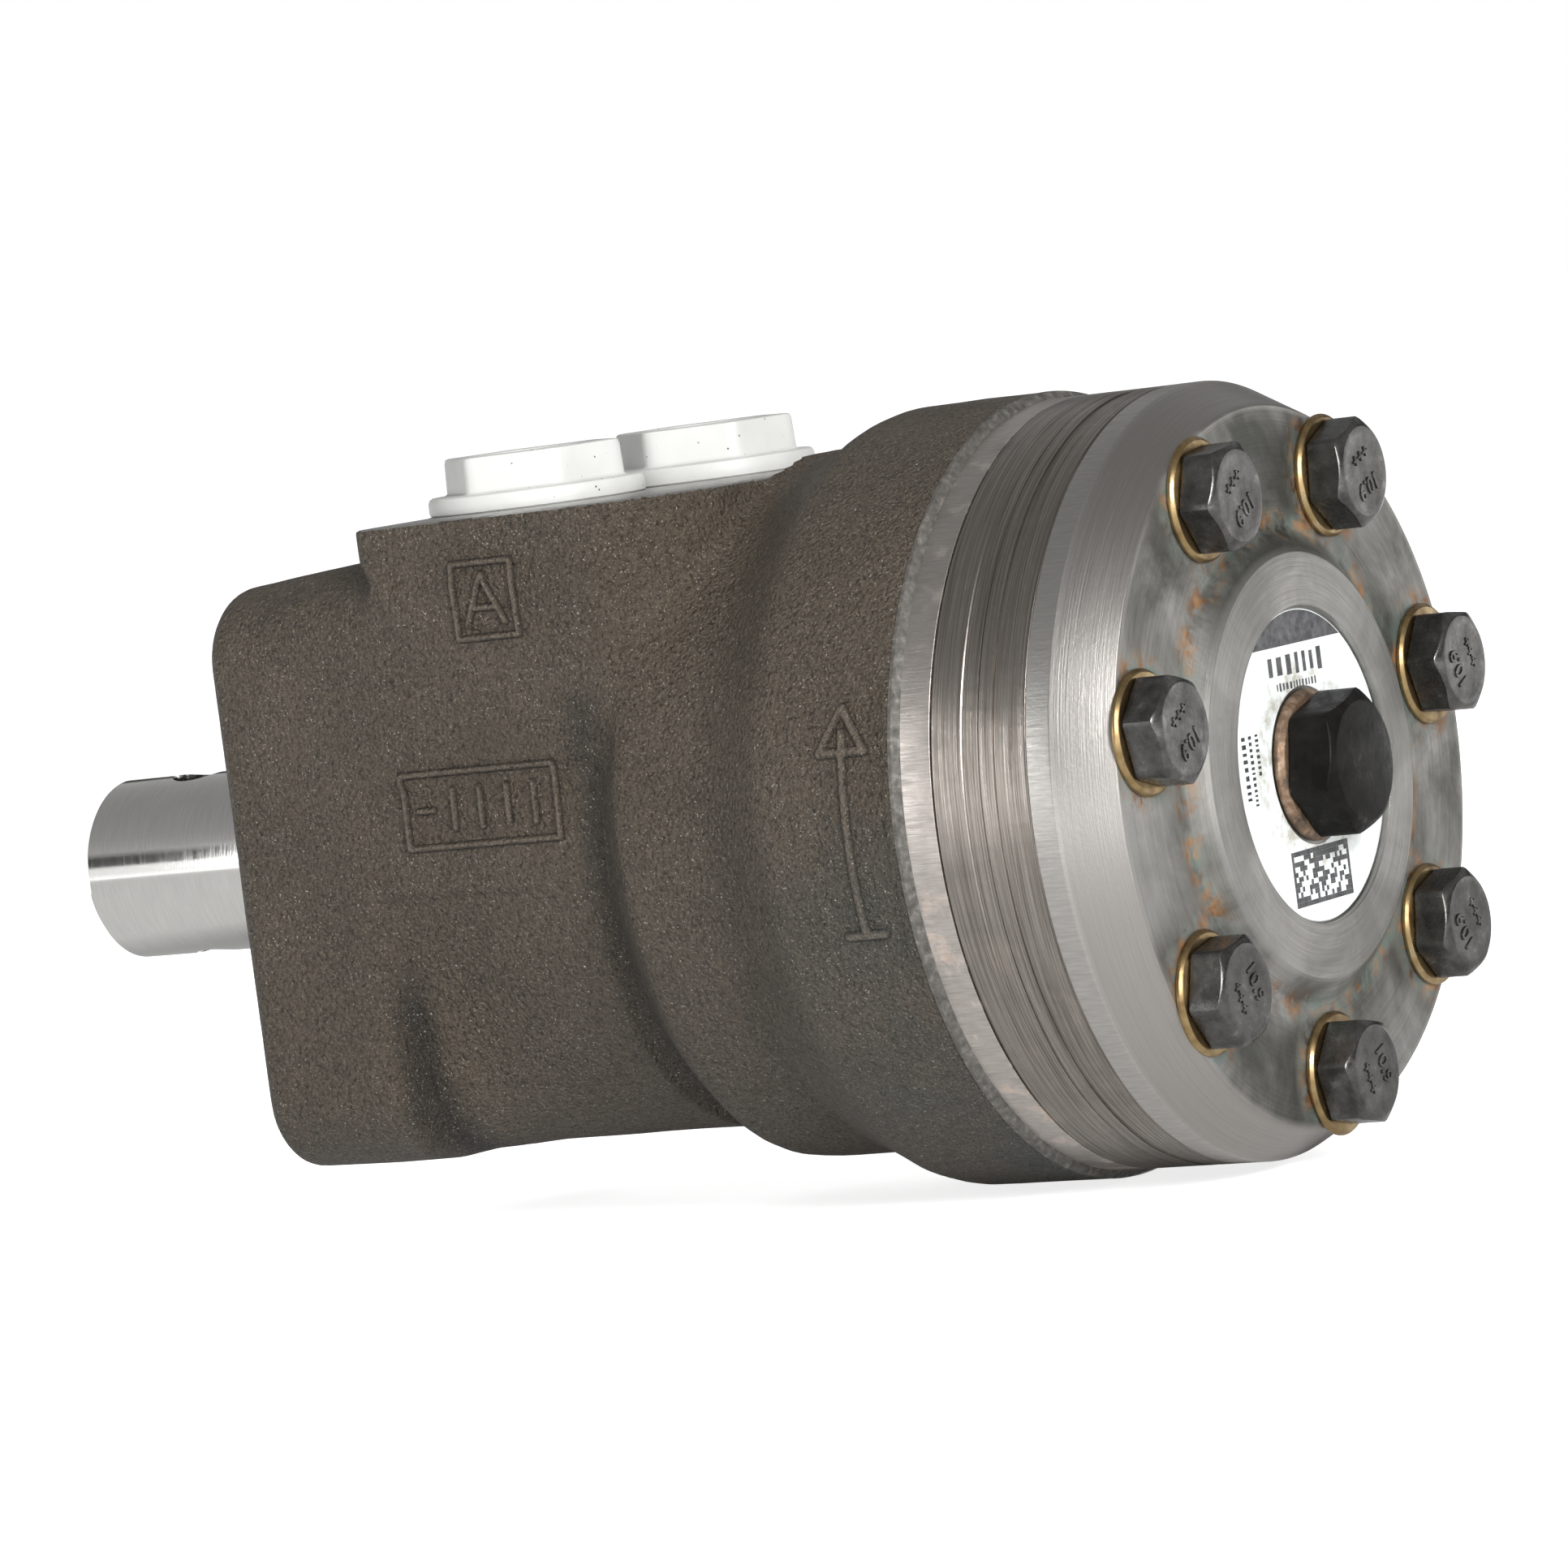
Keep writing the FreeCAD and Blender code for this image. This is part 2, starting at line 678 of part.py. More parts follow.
def housing():
    bore = turned(
        "housing_bore",
        ("front_overrun", "axis"),
        ("front_overrun", "dust_seal_bore"),
        ("dust_seal_seat", "dust_seal_bore"),
        ("dust_seal_seat", "neck_bore"),
        ("shaft_seal_seat", "neck_bore"),
        ("shaft_seal_seat", "shaft_seal_bore"),
        ("bearing_seat", "shaft_seal_bore"),
        ("bearing_seat", "spool_bore"),
        ("rear_overrun", "spool_bore"),
        ("rear_overrun", "axis"),
    )
    tools = [bore] + oil_ways()
    tools += bolt_holes("tapped_hole", "bolt_thread_radius", "rear_overrun", "bolt_thread_end")
    for letter, index in VALVES.items():
        tools += valve_bores(letter, roller_angle(index))
    for corner in range(4):
        y, z = polar("mount_circle_radius", 45 + 90 * corner)
        hole = rod(f"mount_hole_{corner}", "mount_hole_radius", "mount_hole_end", "front_overrun", y, z)
        tools.append(hole)
    tools.append(seal_groove("housing_groove", "rear_face", 1))
    milled = slab(
        "port_face_mill",
        f"{cell('block_front')} - {cell('block_rear')}",
        f"2 * {cell('block_half_width')}",
        f"{cell('above_ports')} - {cell('port_face')}",
        cell("block_rear"),
        f"-{cell('block_half_width')}",
        cell("port_face"),
    )
    tools.append(milled)
    return keep(cut("housing", casting(), *tools), "housing")


# ---------------------------------------------------------------- shaft, link and gear set


def spool_slot(name, angle, rear, front):
    """One timing slot along the outside of the spool."""
    shape = doc.addObject("Part::Box", name)
    shape.Placement.Rotation = FreeCAD.Rotation(X_AXIS, angle)
    floor, half = cell("groove_floor"), f"{cell('slot_width')} / 2"
    bind(shape, Length=f"{cell(front)} - {cell(rear)}", Width=f"{cell('slot_overrun')} - {floor}")
    bind(shape, Height=cell("slot_width"), pos_x=cell(rear))
    bind(shape, pos_y=f"{floor} * cos({angle}) + {half} * sin({angle})")
    bind(shape, pos_z=f"{floor} * sin({angle}) - {half} * cos({angle})")
    return shape


def output_shaft():
    """Output shaft and distributor spool in one piece, hollow behind for the drive link."""
    blank = turned(
        "shaft_blank",
        ("shaft_end", "axis"),
        ("shaft_end", "shaft_radius"),
        ("neck_front", "shaft_radius"),
        ("neck_front", "neck_radius"),
        ("spool_front", "neck_radius"),
        ("spool_front", "spool_radius"),
        ("groove_a_front", "spool_radius"),
        ("groove_a_front", "groove_floor"),
        ("groove_a_rear", "groove_floor"),
        ("groove_a_rear", "spool_radius"),
        ("groove_b_front", "spool_radius"),
        ("groove_b_front", "groove_floor"),
        ("groove_b_rear", "groove_floor"),
        ("groove_b_rear", "spool_radius"),
        ("spool_rear", "spool_radius"),
        ("spool_rear", "axis"),
    )
    eased(blank, "Chamfer", "shaft_bevel", on_circle("shaft_end", "shaft_radius"))
    eased(blank, "Chamfer", "neck_bevel", on_circle("neck_front", "neck_radius"))
    hollow = rod("shaft_hollow", "hollow_radius", "rear_overrun", "hollow_floor")
    splines = ("socket_inner", "socket_outer", "socket_space")
    socket = spline_bar("shaft_socket", *splines, "hollow_floor", "socket_floor")
    across = ("cross_hole_start", "cross_hole_stop")
    cross_hole = post("cross_hole", "cross_hole_radius", *across, cell("cross_hole_place"), "0")
    centre = cone("centre_drilling", cell("centre_radius"), "0", "centre_depth", "shaft_end")
    tools = [hollow, socket, cross_hole, centre]
    for slot in range(LOBES):
        angle = slot * 360.0 / LOBES
        tools.append(spool_slot(f"slot_a_{slot}", angle, "slot_a_end", "groove_a_rear"))
        tools.append(spool_slot(f"slot_b_{slot}", angle + 180.0 / LOBES, "groove_b_front", "slot_b_end"))
    return keep(cut("output_shaft", blank, *tools), "output_shaft")


def link_head(name, rear, middle, front):
    """A crowned spline: the teeth are highest in the middle so that the link can tilt."""
    bar = spline_bar(f"{name}_bar", "spline_root", "spline_tip", "spline_tooth", rear, front)
    barrel = turned(
        f"{name}_barrel",
        (front, "axis"),
        (front, "spline_end_radius"),
        (middle, "spline_tip"),
        (rear, "spline_end_radius"),
        (rear, "axis"),
    )
    return common(name, bar, barrel)


def drive_link():
    """The cardan shaft that leans from the shaft's socket to the orbiting rotor."""
    front = link_head("link_front_head", "link_front_head", "link_pivot", "link_front")
    rear = link_head("link_rear_head", "link_rear", "rotor_pivot", "link_rear_head")
    neck = rod("link_neck", "link_neck_radius", "link_rear_head", "link_front_head")
    link = fused("drive_link", front, neck, rear)
    run = SIZES["link_pivot"] - SIZES["rotor_pivot"]
    lean = math.degrees(math.atan2(SIZES["rotor_offset"], run))
    pivot = FreeCAD.Vector(SIZES["link_pivot"], 0, 0)
    tilt = FreeCAD.Rotation(FreeCAD.Vector(0, 1, 0), lean)
    link.Placement = FreeCAD.Placement(pivot - tilt.multVec(pivot), tilt)
    return keep(link, "drive_link")


def rotor():
    """Six-lobed rotor; its outline follows the rollers, moved inwards by a roller's radius."""
    circle, offset = SIZES["roller_circle"], SIZES["rotor_offset"]
    reach = SIZES["roller_radius"] + SIZES["rotor_clearance"]
    rear = SIZES["ring_rear"] + SIZES["gear_side_clearance"]
    front = SIZES["plate_rear"] - SIZES["gear_side_clearance"]
    points = []
    for step in range(OUTLINE_STEPS):
        turn = 2 * math.pi * step / OUTLINE_STEPS
        path_up = circle * math.cos(turn) - offset * math.cos(ROLLERS * turn)
        path_side = circle * math.sin(turn) - offset * math.sin(ROLLERS * turn)
        run_up = -circle * math.sin(turn) + ROLLERS * offset * math.sin(ROLLERS * turn)
        run_side = circle * math.cos(turn) - ROLLERS * offset * math.cos(ROLLERS * turn)
        run = math.hypot(run_up, run_side)
        up = path_up - reach * run_side / run
        side = path_side + reach * run_up / run
        points.append(FreeCAD.Vector(rear, -side, up + offset))
    curve = Part.BSplineCurve()
    curve.interpolate(Points=points, PeriodicFlag=True)
    face = Part.Face(Part.Wire([curve.toShape()]))
    blank = doc.addObject("Part::Feature", "rotor_blank")
    blank.Shape = face.extrude(FreeCAD.Vector(front - rear, 0, 0))
    socket = spline_bar(
        "rotor_socket",
        "socket_inner",
        "socket_outer",
        "socket_space",
        "cover_band",
        "rear_face",
        "0",
        cell("rotor_offset"),
    )
    return keep(cut("rotor", blank, socket), "rotor")


def gear_ring():
    """The ring that holds the rollers in seven half-round pockets."""
    disc = rod("ring_disc", "stack_radius", "ring_rear", "plate_rear")
    tools = [rod("ring_middle", "ring_inner_radius", "cover_band", "rear_face")]
    tools += bolt_holes("ring_hole", "bolt_hole_radius", "cover_band", "rear_face")
    for index in range(ROLLERS):
        y, z = polar("roller_circle", roller_angle(index))
        tools.append(rod(f"pocket_{index}", "pocket_radius", "cover_band", "rear_face", y, z))
    return keep(cut("gear_ring", disc, *tools), "gear_ring")


def rollers():
    for index in range(ROLLERS):
        y, z = polar("roller_circle", roller_angle(index))
        roller = rod(f"roller_{index + 1}", "roller_radius", "roller_rear", "roller_front", y, z)
        keep(roller, f"roller_{index + 1}")


def drive_spacer():
    """The button behind the link, which keeps it from touching the end cover."""
    button = rod("drive_spacer", "spacer_radius", "roller_rear", "spacer_front", "0", cell("rotor_offset"))
    return keep(button, "drive_spacer")


# ---------------------------------------------------------------- plate, cover and fasteners


def spacer_plate():
    disc = rod("plate_disc", "stack_radius", "plate_rear", "rear_face")
    tools = [rod("plate_middle", "plate_bore", "ring_rear", "bell_rear")]
    tools += bolt_holes("plate_hole", "bolt_hole_radius", "ring_rear", "bell_rear")
    tools.append(seal_groove("plate_groove", "plate_rear", 1))
    for index in range(ROLLERS):
        y, z = polar("passage_circle", bolt_angle(index))
        tools.append(rod(f"plate_passage_{index}", "passage_radius", "ring_rear", "bell_rear", y, z))
    return keep(cut("spacer_plate", disc, *tools), "spacer_plate")


def end_cover():
    blank = turned(
        "cover_blank",
        ("ring_rear", "axis"),
        ("ring_rear", "stack_radius"),
        ("cover_band", "stack_radius"),
        ("cover_flat", "cover_flat_radius"),
        ("cover_flat", "boss_foot_radius"),
        ("boss_edge", "boss_edge_radius"),
        ("boss_inner", "recess_radius"),
        ("recess_floor", "recess_radius"),
        ("recess_floor", "axis"),
    )
    eased(blank, "Fillet", "cover_fillet", on_circle("cover_flat", "boss_foot_radius"))
    drain = rod("drain_hole", "drain_radius", "bolt_face", "plate_rear")
    holes = bolt_holes("cover_hole", "bolt_hole_radius", "bolt_face", "plate_rear")
    groove = seal_groove("cover_groove", "ring_rear", -1)
    return keep(cut("end_cover", blank, drain, groove, *holes), "end_cover")


def cover_bolts():
    bolts = []
    washers = []
    for index, turn in enumerate(BOLT_TURNS):
        y, z = polar("bolt_circle", bolt_angle(index))
        name = f"cover_bolt_{index}"
        head = hex_head(name, "bolt_flats", "bolt_face", "bolt_face_radius", "washer_rear", turn, y, z)
        shank = rod(f"{name}_shank", "bolt_radius", "washer_rear", "bolt_tip", y, z)
        bolts.append(fused(name, head, shank))
        disc = rod(f"{name}_washer", "washer_radius", "washer_rear", "cover_flat", y, z)
        hole = rod(f"{name}_washer_hole", "washer_bore", "bolt_face", "ring_rear", y, z)
        washers.append(cut(f"bolt_washer_{index}", disc, hole))
    keep(grouped("cover_bolts", bolts), "cover_bolts")
    keep(grouped("bolt_washers", washers), "bolt_washers")


def drain_closure():
    """Case drain plug, its washer, and the label round them."""
    across = ("plug_flats", "plug_face", "plug_face_radius")
    head = hex_head("drain_plug", *across, "drain_washer_rear", PLUG_TURN)
    shank = rod("drain_plug_shank", "plug_radius", "drain_washer_rear", "plug_tip")
    keep(fused("drain_plug", head, shank), "drain_plug")
    disc = rod("drain_washer_disc", "drain_washer_radius", "drain_washer_rear", "recess_floor")
    hole = rod("drain_washer_hole", "drain_washer_bore", "bolt_face", "ring_rear")
    keep(cut("drain_plug_washer", disc, hole), "drain_plug_washer")
    foil = rod("label_disc", "label_radius", "label_rear", "recess_floor")
    opening = rod("label_hole", "label_bore", "bolt_face", "ring_rear")
    keep(cut("cover_label", foil, opening), "cover_label")


# ---------------------------------------------------------------- seals, bearing and valves


def front_seals():
    dust_seal = turned(
        "dust_seal",
        ("dust_seal_seat", "seal_lip_radius"),
        ("dust_seal_seat", "dust_seal_outer"),
        ("dust_seal_shoulder", "dust_seal_outer"),
        ("dust_seal_shoulder", "dust_seal_crease"),
        ("dust_seal_front", "dust_seal_nose"),
        ("dust_seal_front", "seal_lip_radius"),
    )
    keep(dust_seal, "dust_seal")
    shaft_seal = turned(
        "shaft_seal",
        ("shaft_seal_front", "seal_lip_radius"),
        ("shaft_seal_front", "shaft_seal_outer"),
        ("shaft_seal_rear", "shaft_seal_outer"),
        ("shaft_seal_rear", "shaft_seal_heel"),
        ("shaft_seal_trough_floor", "shaft_seal_trough"),
        ("shaft_seal_rear", "shaft_seal_toe"),
        ("shaft_seal_rear", "seal_lip_radius"),
    )
    keep(shaft_seal, "shaft_seal")
    disc = rod("backup_disc", "shaft_seal_outer", "backup_rear", "shaft_seal_rear")
    hole = rod("backup_hole", "seal_lip_radius", "spool_front", "mount_face")
    keep(cut("seal_backup_ring", disc, hole), "seal_backup_ring")


def thrust_bearing():
    """Needle thrust bearing between the housing and the front shoulder of the spool."""
    for name, rear, front in (
        ("thrust_washer_front", "thrust_front", "bearing_seat"),
        ("thrust_washer_rear", "spool_front", "thrust_rear"),
    ):
        disc = rod(f"{name}_disc", "thrust_outer", rear, front)
        hole = rod(f"{name}_hole", "thrust_inner", "groove_a_front", "mount_face")
        keep(cut(name, disc, hole), name)
    disc = rod("cage_disc", "cage_outer", "cage_rear", "cage_front")
    tools = [rod("cage_hole", "cage_inner", "groove_a_front", "mount_face")]
    needles = []
    for index in range(NEEDLES):
        angle = index * 360.0 / NEEDLES
        pocket = ("cage_pocket_radius", "needle_place", angle, "cage_pocket_inner", "cage_pocket_outer")
        tools.append(spoke(f"cage_pocket_{index}", *pocket))
        needle = ("needle_radius", "needle_place", angle, "needle_inner", "needle_outer")
        needles.append(spoke(f"needle_{index}", *needle))
    keep(cut("thrust_cage", disc, *tools), "thrust_cage")
    keep(grouped("thrust_needles", needles), "thrust_needles")


def check_valves():
    """Ball and retaining ring of each check valve."""
    for letter, index in VALVES.items():
        y, z = polar("passage_circle", roller_angle(index))
        ball = doc.addObject("Part::Sphere", f"check_ball_{letter}")
        bind(ball, Radius=cell("valve_ball_radius"), pos_x=cell("valve_ball_place"), pos_y=y, pos_z=z)
        keep(ball, f"check_ball_{letter}")
        disc = rod(f"retainer_disc_{letter}", "retainer_radius", "retainer_rear", "retainer_front", y, z)
        hole = rod(f"retainer_hole_{letter}", "valve_seat_radius", "plate_rear", "valve_seat", y, z)
        keep(cut(f"check_retainer_{letter}", disc, hole), f"check_retainer_{letter}")


def port_plugs():
    """White shipping plugs screwed into the ports, each with its seal ring."""
    for letter, place, side in (("a", "port_a_place", 1), ("b", "port_b_place", -1)):
        name = f"port_plug_{letter}"
        spot = (cell(place), f"{side} * {cell('port_offset')}")
        disc = post(f"{name}_disc", "port_plug_disc_radius", "port_face", "port_plug_disc_top", *spot)
        shank = post(f"{name}_shank", "port_plug_shank", "port_plug_foot", "port_plug_disc_top", *spot)
        bar = doc.addObject("Part::Prism", f"{name}_bar")
        bar.Polygon = 6
        bar.Placement.Rotation = FreeCAD.Rotation(Z_AXIS, PORT_PLUG_TURNS[letter] + 30)
        bind(bar, Circumradius=f"{cell('port_plug_flats')} / sqrt(3)")
        bind(bar, Height=f"{cell('port_plug_top')} - {cell('port_plug_disc_top')}")
        bind(bar, pos_x=spot[0], pos_y=spot[1], pos_z=cell("port_plug_disc_top"))
        depth = ("port_plug_hollow_floor", "port_plug_clear")
        hollow = post(f"{name}_hollow", "port_plug_hollow", *depth, *spot)
        keep(cut(name, fused(f"{name}_solid", disc, shank, bar), hollow), name)
        ring = doc.addObject("Part::Torus", f"port_seal_{letter}")
        bind(ring, Radius1=cell("port_seal_radius"), Radius2=cell("port_seal_section"))
        bind(ring, pos_x=spot[0], pos_y=spot[1], pos_z=cell("port_seal_height"))
        keep(ring, f"port_seal_{letter}")


# ---------------------------------------------------------------- build, check and write

housing()
output_shaft()
drive_link()
rotor()
gear_ring()
rollers()
drive_spacer()
spacer_plate()
end_cover()
cover_bolts()
drain_closure()
front_seals()
thrust_bearing()
check_valves()
port_plugs()
seal_ring("housing_seal", "rear_face", 1)
seal_ring("plate_seal", "plate_rear", 1)
seal_ring("cover_seal", "ring_rear", -1)

doc.recompute()

failed = [item.Name for item in doc.Objects if "Invalid" in item.State or "Error" in item.State]
if failed:
    raise RuntimeError(f"objects that did not compute: {failed}")

os.makedirs("parts", exist_ok=True)
for node in nodes:
    if node.Shape.isNull() or not node.Shape.isValid():
        raise RuntimeError(f"{node.Label} has no valid shape")
    print(f"{node.Label}: {node.Shape.Volume:.1f} mm3 in {len(node.Shape.Solids)} solid(s)")
for node in nodes:
    node.Shape.exportStep(f"parts/{node.Label}.step")
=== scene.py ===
import random
from math import acos, cos, degrees, hypot, pi, radians, sin, tan

import bmesh
import bpy
import numpy as np
import openvdb
from mathutils import Matrix, Vector
from mathutils.bvhtree import BVHTree


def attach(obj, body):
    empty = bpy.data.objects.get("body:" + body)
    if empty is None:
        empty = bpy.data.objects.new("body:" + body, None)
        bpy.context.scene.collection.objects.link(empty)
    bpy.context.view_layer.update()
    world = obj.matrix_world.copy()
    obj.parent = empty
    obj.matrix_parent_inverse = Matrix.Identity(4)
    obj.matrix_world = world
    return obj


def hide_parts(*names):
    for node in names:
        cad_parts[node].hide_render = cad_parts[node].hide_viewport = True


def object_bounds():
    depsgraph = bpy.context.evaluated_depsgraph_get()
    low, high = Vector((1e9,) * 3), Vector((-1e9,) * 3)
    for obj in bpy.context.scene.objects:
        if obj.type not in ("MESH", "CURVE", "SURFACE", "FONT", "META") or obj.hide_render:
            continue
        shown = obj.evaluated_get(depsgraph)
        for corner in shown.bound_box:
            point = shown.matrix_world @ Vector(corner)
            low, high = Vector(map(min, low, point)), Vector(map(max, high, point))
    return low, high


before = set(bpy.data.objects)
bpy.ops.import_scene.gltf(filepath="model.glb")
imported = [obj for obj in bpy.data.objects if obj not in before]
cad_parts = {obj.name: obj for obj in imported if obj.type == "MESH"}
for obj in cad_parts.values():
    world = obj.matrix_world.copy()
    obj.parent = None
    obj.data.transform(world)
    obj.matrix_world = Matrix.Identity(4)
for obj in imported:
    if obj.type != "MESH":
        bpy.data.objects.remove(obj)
cad_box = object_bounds()

MM = 0.001
HOUSING = "housing_group"
random.seed(7)
rng = np.random.default_rng(11)

# Sizes in millimetres, in the part's own frame: +X out along the shaft, +Z up, y = z = 0 on the axis.
BOLT_TURNS = (42.0, 19.0, 45.0, 22.0, 7.0, 36.0, 12.0)
FLANGE_HALF = 41.0
FLANGE_CORNER = 10.5
FLANGE_TOP = 38.9
FLANGE_LOW = -40.3
PORT_FACE = 45.5
PORTS = {"a": (-39.5, 14.0), "b": (-49.5, -14.0)}
SPOOL_BORE = 19.06
CAST_REAR = -111.6
BELL_RADIUS = 52.25
ROUND = 240
GRID_STEP, QUICK_STEP = 0.56, 0.8


def circle_points(count, radius, start):
    """Points (y, z) spread evenly on a circle about the shaft axis, the first at start degrees."""
    angles = [radians(start + index * 360 / count) for index in range(count)]
    return [(radius * cos(a), radius * sin(a)) for a in angles]


COVER_BOLTS = circle_points(7, 40.4, 270)
MOUNT_HOLES = circle_points(4, 41.25, 45)


# ---- materials


def fill_ramp(ramp, stops):
    while len(ramp.elements) < len(stops):
        ramp.elements.new(0.5)
    for element, (position, colour) in zip(ramp.elements, stops):
        element.position = position
        element.color = (*colour, 1)


class Shader:
    """A node material built up step by step. Lengths are in metres, so scales are per metre."""

    def __init__(self, name, metallic=0.0, specular=0.5):
        self.mat = bpy.data.materials.new(name)
        self.mat.use_nodes = True
        self.tree = self.mat.node_tree
        self.out = self.tree.nodes["Principled BSDF"]
        self.out.inputs["Metallic"].default_value = metallic
        self.out.inputs["Specular IOR Level"].default_value = specular
        self.place = self.node("ShaderNodeTexCoord").outputs["Object"]
        self.normal = None

    def put(self, socket, value):
        """Link a socket, or set it to a number or a colour."""
        if isinstance(value, bpy.types.NodeSocket):
            self.tree.links.new(value, socket)
        elif isinstance(value, (tuple, list)) and len(value) == 3 and socket.type == "RGBA":
            socket.default_value = (*value, 1)
        else:
            socket.default_value = value

    def node(self, kind, inputs=None, **settings):
        made = self.tree.nodes.new(kind)
        for key, value in settings.items():
            setattr(made, key, value)
        for key, value in (inputs or {}).items():
            self.put(made.inputs[key], value)
        return made

    def noise(self, scale, detail=3.0, rough=0.55, vector=None, distortion=0.0):
        inputs = {"Vector": self.place if vector is None else vector, "Scale": scale}
        inputs.update({"Detail": detail, "Roughness": rough, "Distortion": distortion})
        return self.node("ShaderNodeTexNoise", inputs).outputs["Fac"]

    def cells(self, scale):
        return self.node("ShaderNodeTexVoronoi", {"Vector": self.place, "Scale": scale}).outputs["Distance"]

    def remap(self, value, low, high, to_low=0.0, to_high=1.0):
        inputs = {"Value": value, "From Min": low, "From Max": high, "To Min": to_low, "To Max": to_high}
        return self.node("ShaderNodeMapRange", inputs).outputs["Result"]

    def maths(self, operation, first, second=0.0):
        made = self.node("ShaderNodeMath", operation=operation)
        for socket, value in zip(made.inputs, (first, second)):
            self.put(socket, value)
        return made.outputs["Value"]

    def times(self, first, second):
        return self.maths("MULTIPLY", first, second)

    def plus(self, first, second):
        return self.maths("ADD", first, second)

    def blend(self, share, first, second):
        inputs = {"Factor": share, "A": first, "B": second}
        return self.node("ShaderNodeMix", inputs, data_type="RGBA").outputs["Result"]

    def ramp(self, value, *stops):
        made = self.node("ShaderNodeValToRGB", {"Fac": value})
        fill_ramp(made.color_ramp, stops)
        return made.outputs["Color"]

    def axes(self):
        """The position's x, y and z."""
        made = self.node("ShaderNodeSeparateXYZ", {"Vector": self.place})
        return [made.outputs[axis] for axis in "XYZ"]

    def radius(self, y0=0.0, z0=0.0):
        """Distance from an axis along the shaft that passes through (y0, z0), in metres."""
        _, y, z = self.axes()
        y, z = self.maths("SUBTRACT", y, y0), self.maths("SUBTRACT", z, z0)
        return self.maths("SQRT", self.plus(self.times(y, y), self.times(z, z)))

    def around(self, x_scale, radius_scale, angle_scale):
        """A vector of (x, radius, angle) about the shaft axis, each scaled."""
        x, y, z = self.axes()
        polar = self.node("ShaderNodeCombineXYZ", {"X": x, "Y": self.radius(), "Z": self.maths("ARCTAN2", z, y)})
        inputs = {"Vector": polar.outputs["Vector"], "Scale": (x_scale, radius_scale, angle_scale)}
        return self.node("ShaderNodeMapping", inputs).outputs["Vector"]

    def bump(self, height, depth, strength=1.0):
        inputs = {"Strength": strength, "Distance": depth, "Height": height}
        if self.normal is not None:
            inputs["Normal"] = self.normal
        self.normal = self.node("ShaderNodeBump", inputs).outputs["Normal"]
        self.put(self.out.inputs["Normal"], self.normal)

    def colour(self, value):
        self.put(self.out.inputs["Base Color"], value)

    def rough(self, value):
        self.put(self.out.inputs["Roughness"], value)

    def metal(self, value):
        self.put(self.out.inputs["Metallic"], value)


def cast_iron(name="cast_iron_skin", marked=False):
    s = Shader(name)
    grain = s.noise(1800, 4, 0.6)
    pimples = s.cells(1450)
    lumps = s.noise(620, 3, 0.55)
    tone = s.noise(45, 4, 0.6)
    fine = s.noise(2600, 2, 0.6)
    base = s.ramp(tone, (0.3, (0.022, 0.0165, 0.01)), (0.7, (0.036, 0.0275, 0.0185)))
    grit = s.remap(fine, 0.35, 0.7)
    colour = s.blend(s.times(grit, 0.5), base, (0.075, 0.06, 0.044))
    pit = s.remap(grain, 0.47, 0.33)
    colour = s.blend(s.times(pit, 0.75), colour, (0.009, 0.007, 0.005))
    # The lower part of the bell is darker and greener, as if oiled.
    x, y, z = s.axes()
    oily = s.times(s.remap(x, -0.085, -0.105), s.remap(z, 0.012, -0.02))
    oily = s.times(oily, s.remap(s.noise(60, 4, 0.6), 0.3, 0.6))
    colour = s.blend(s.times(oily, 0.75), colour, (0.017, 0.022, 0.02))
    # Painted shade: the colour darkens in the concave feet of the collar and of the bell, and behind the flange
    # below the flat sides, where shade falls.
    foot_shade_bands = [s.remap(s.maths("ABSOLUTE", s.plus(x, at)), 0.0045, 0.0) for at in (0.0602, 0.0822)]
    foot_shade = s.maths("MAXIMUM", *foot_shade_bands)
    foot_shade = s.times(s.times(foot_shade, s.remap(s.radius(), 0.0475, 0.0462)), s.remap(z, 0.036, 0.026))
    flange_crease_shade = s.remap(s.maths("ABSOLUTE", s.plus(x, 0.0252)), 0.0038, 0.0004)
    flange_crease_shade = s.times(flange_crease_shade, s.remap(z, -0.01, -0.019))
    crease_shade = s.maths("MAXIMUM", foot_shade, s.times(flange_crease_shade, 1.3))
    # The painted shade is blended in as a near-black colour.
    colour = s.blend(s.times(crease_shade, 0.62), colour, (0.006, 0.005, 0.004))
    glint = s.remap(s.noise(4300, 1, 0.5), 0.66, 0.78)
    colour = s.blend(glint, colour, (0.24, 0.225, 0.2))
    if marked:
        # Cast-on marks have painted shade, a darker colour, at the foot, and are rubbed lighter on top.
        crest = s.node("ShaderNodeAttribute", attribute_name="crest").outputs["Fac"]
        colour = s.blend(s.remap(crest, 0.72, 0.4, 0.0, 0.8), colour, (0.006, 0.005, 0.004))
        colour = s.blend(s.remap(crest, 0.8, 1.0, 0.0, 0.4), colour, (0.085, 0.07, 0.054))
    s.colour(colour)
    s.rough(s.remap(grain, 0.3, 0.7, 0.56, 0.4))
    s.bump(lumps, 0.0008, 0.25 if marked else 0.7)
    s.bump(s.remap(pimples, 0.0, 0.6, 1.0, 0.0), 0.0004, 0.7)
    s.bump(grain, 0.0008, 1.0)
    return s.mat


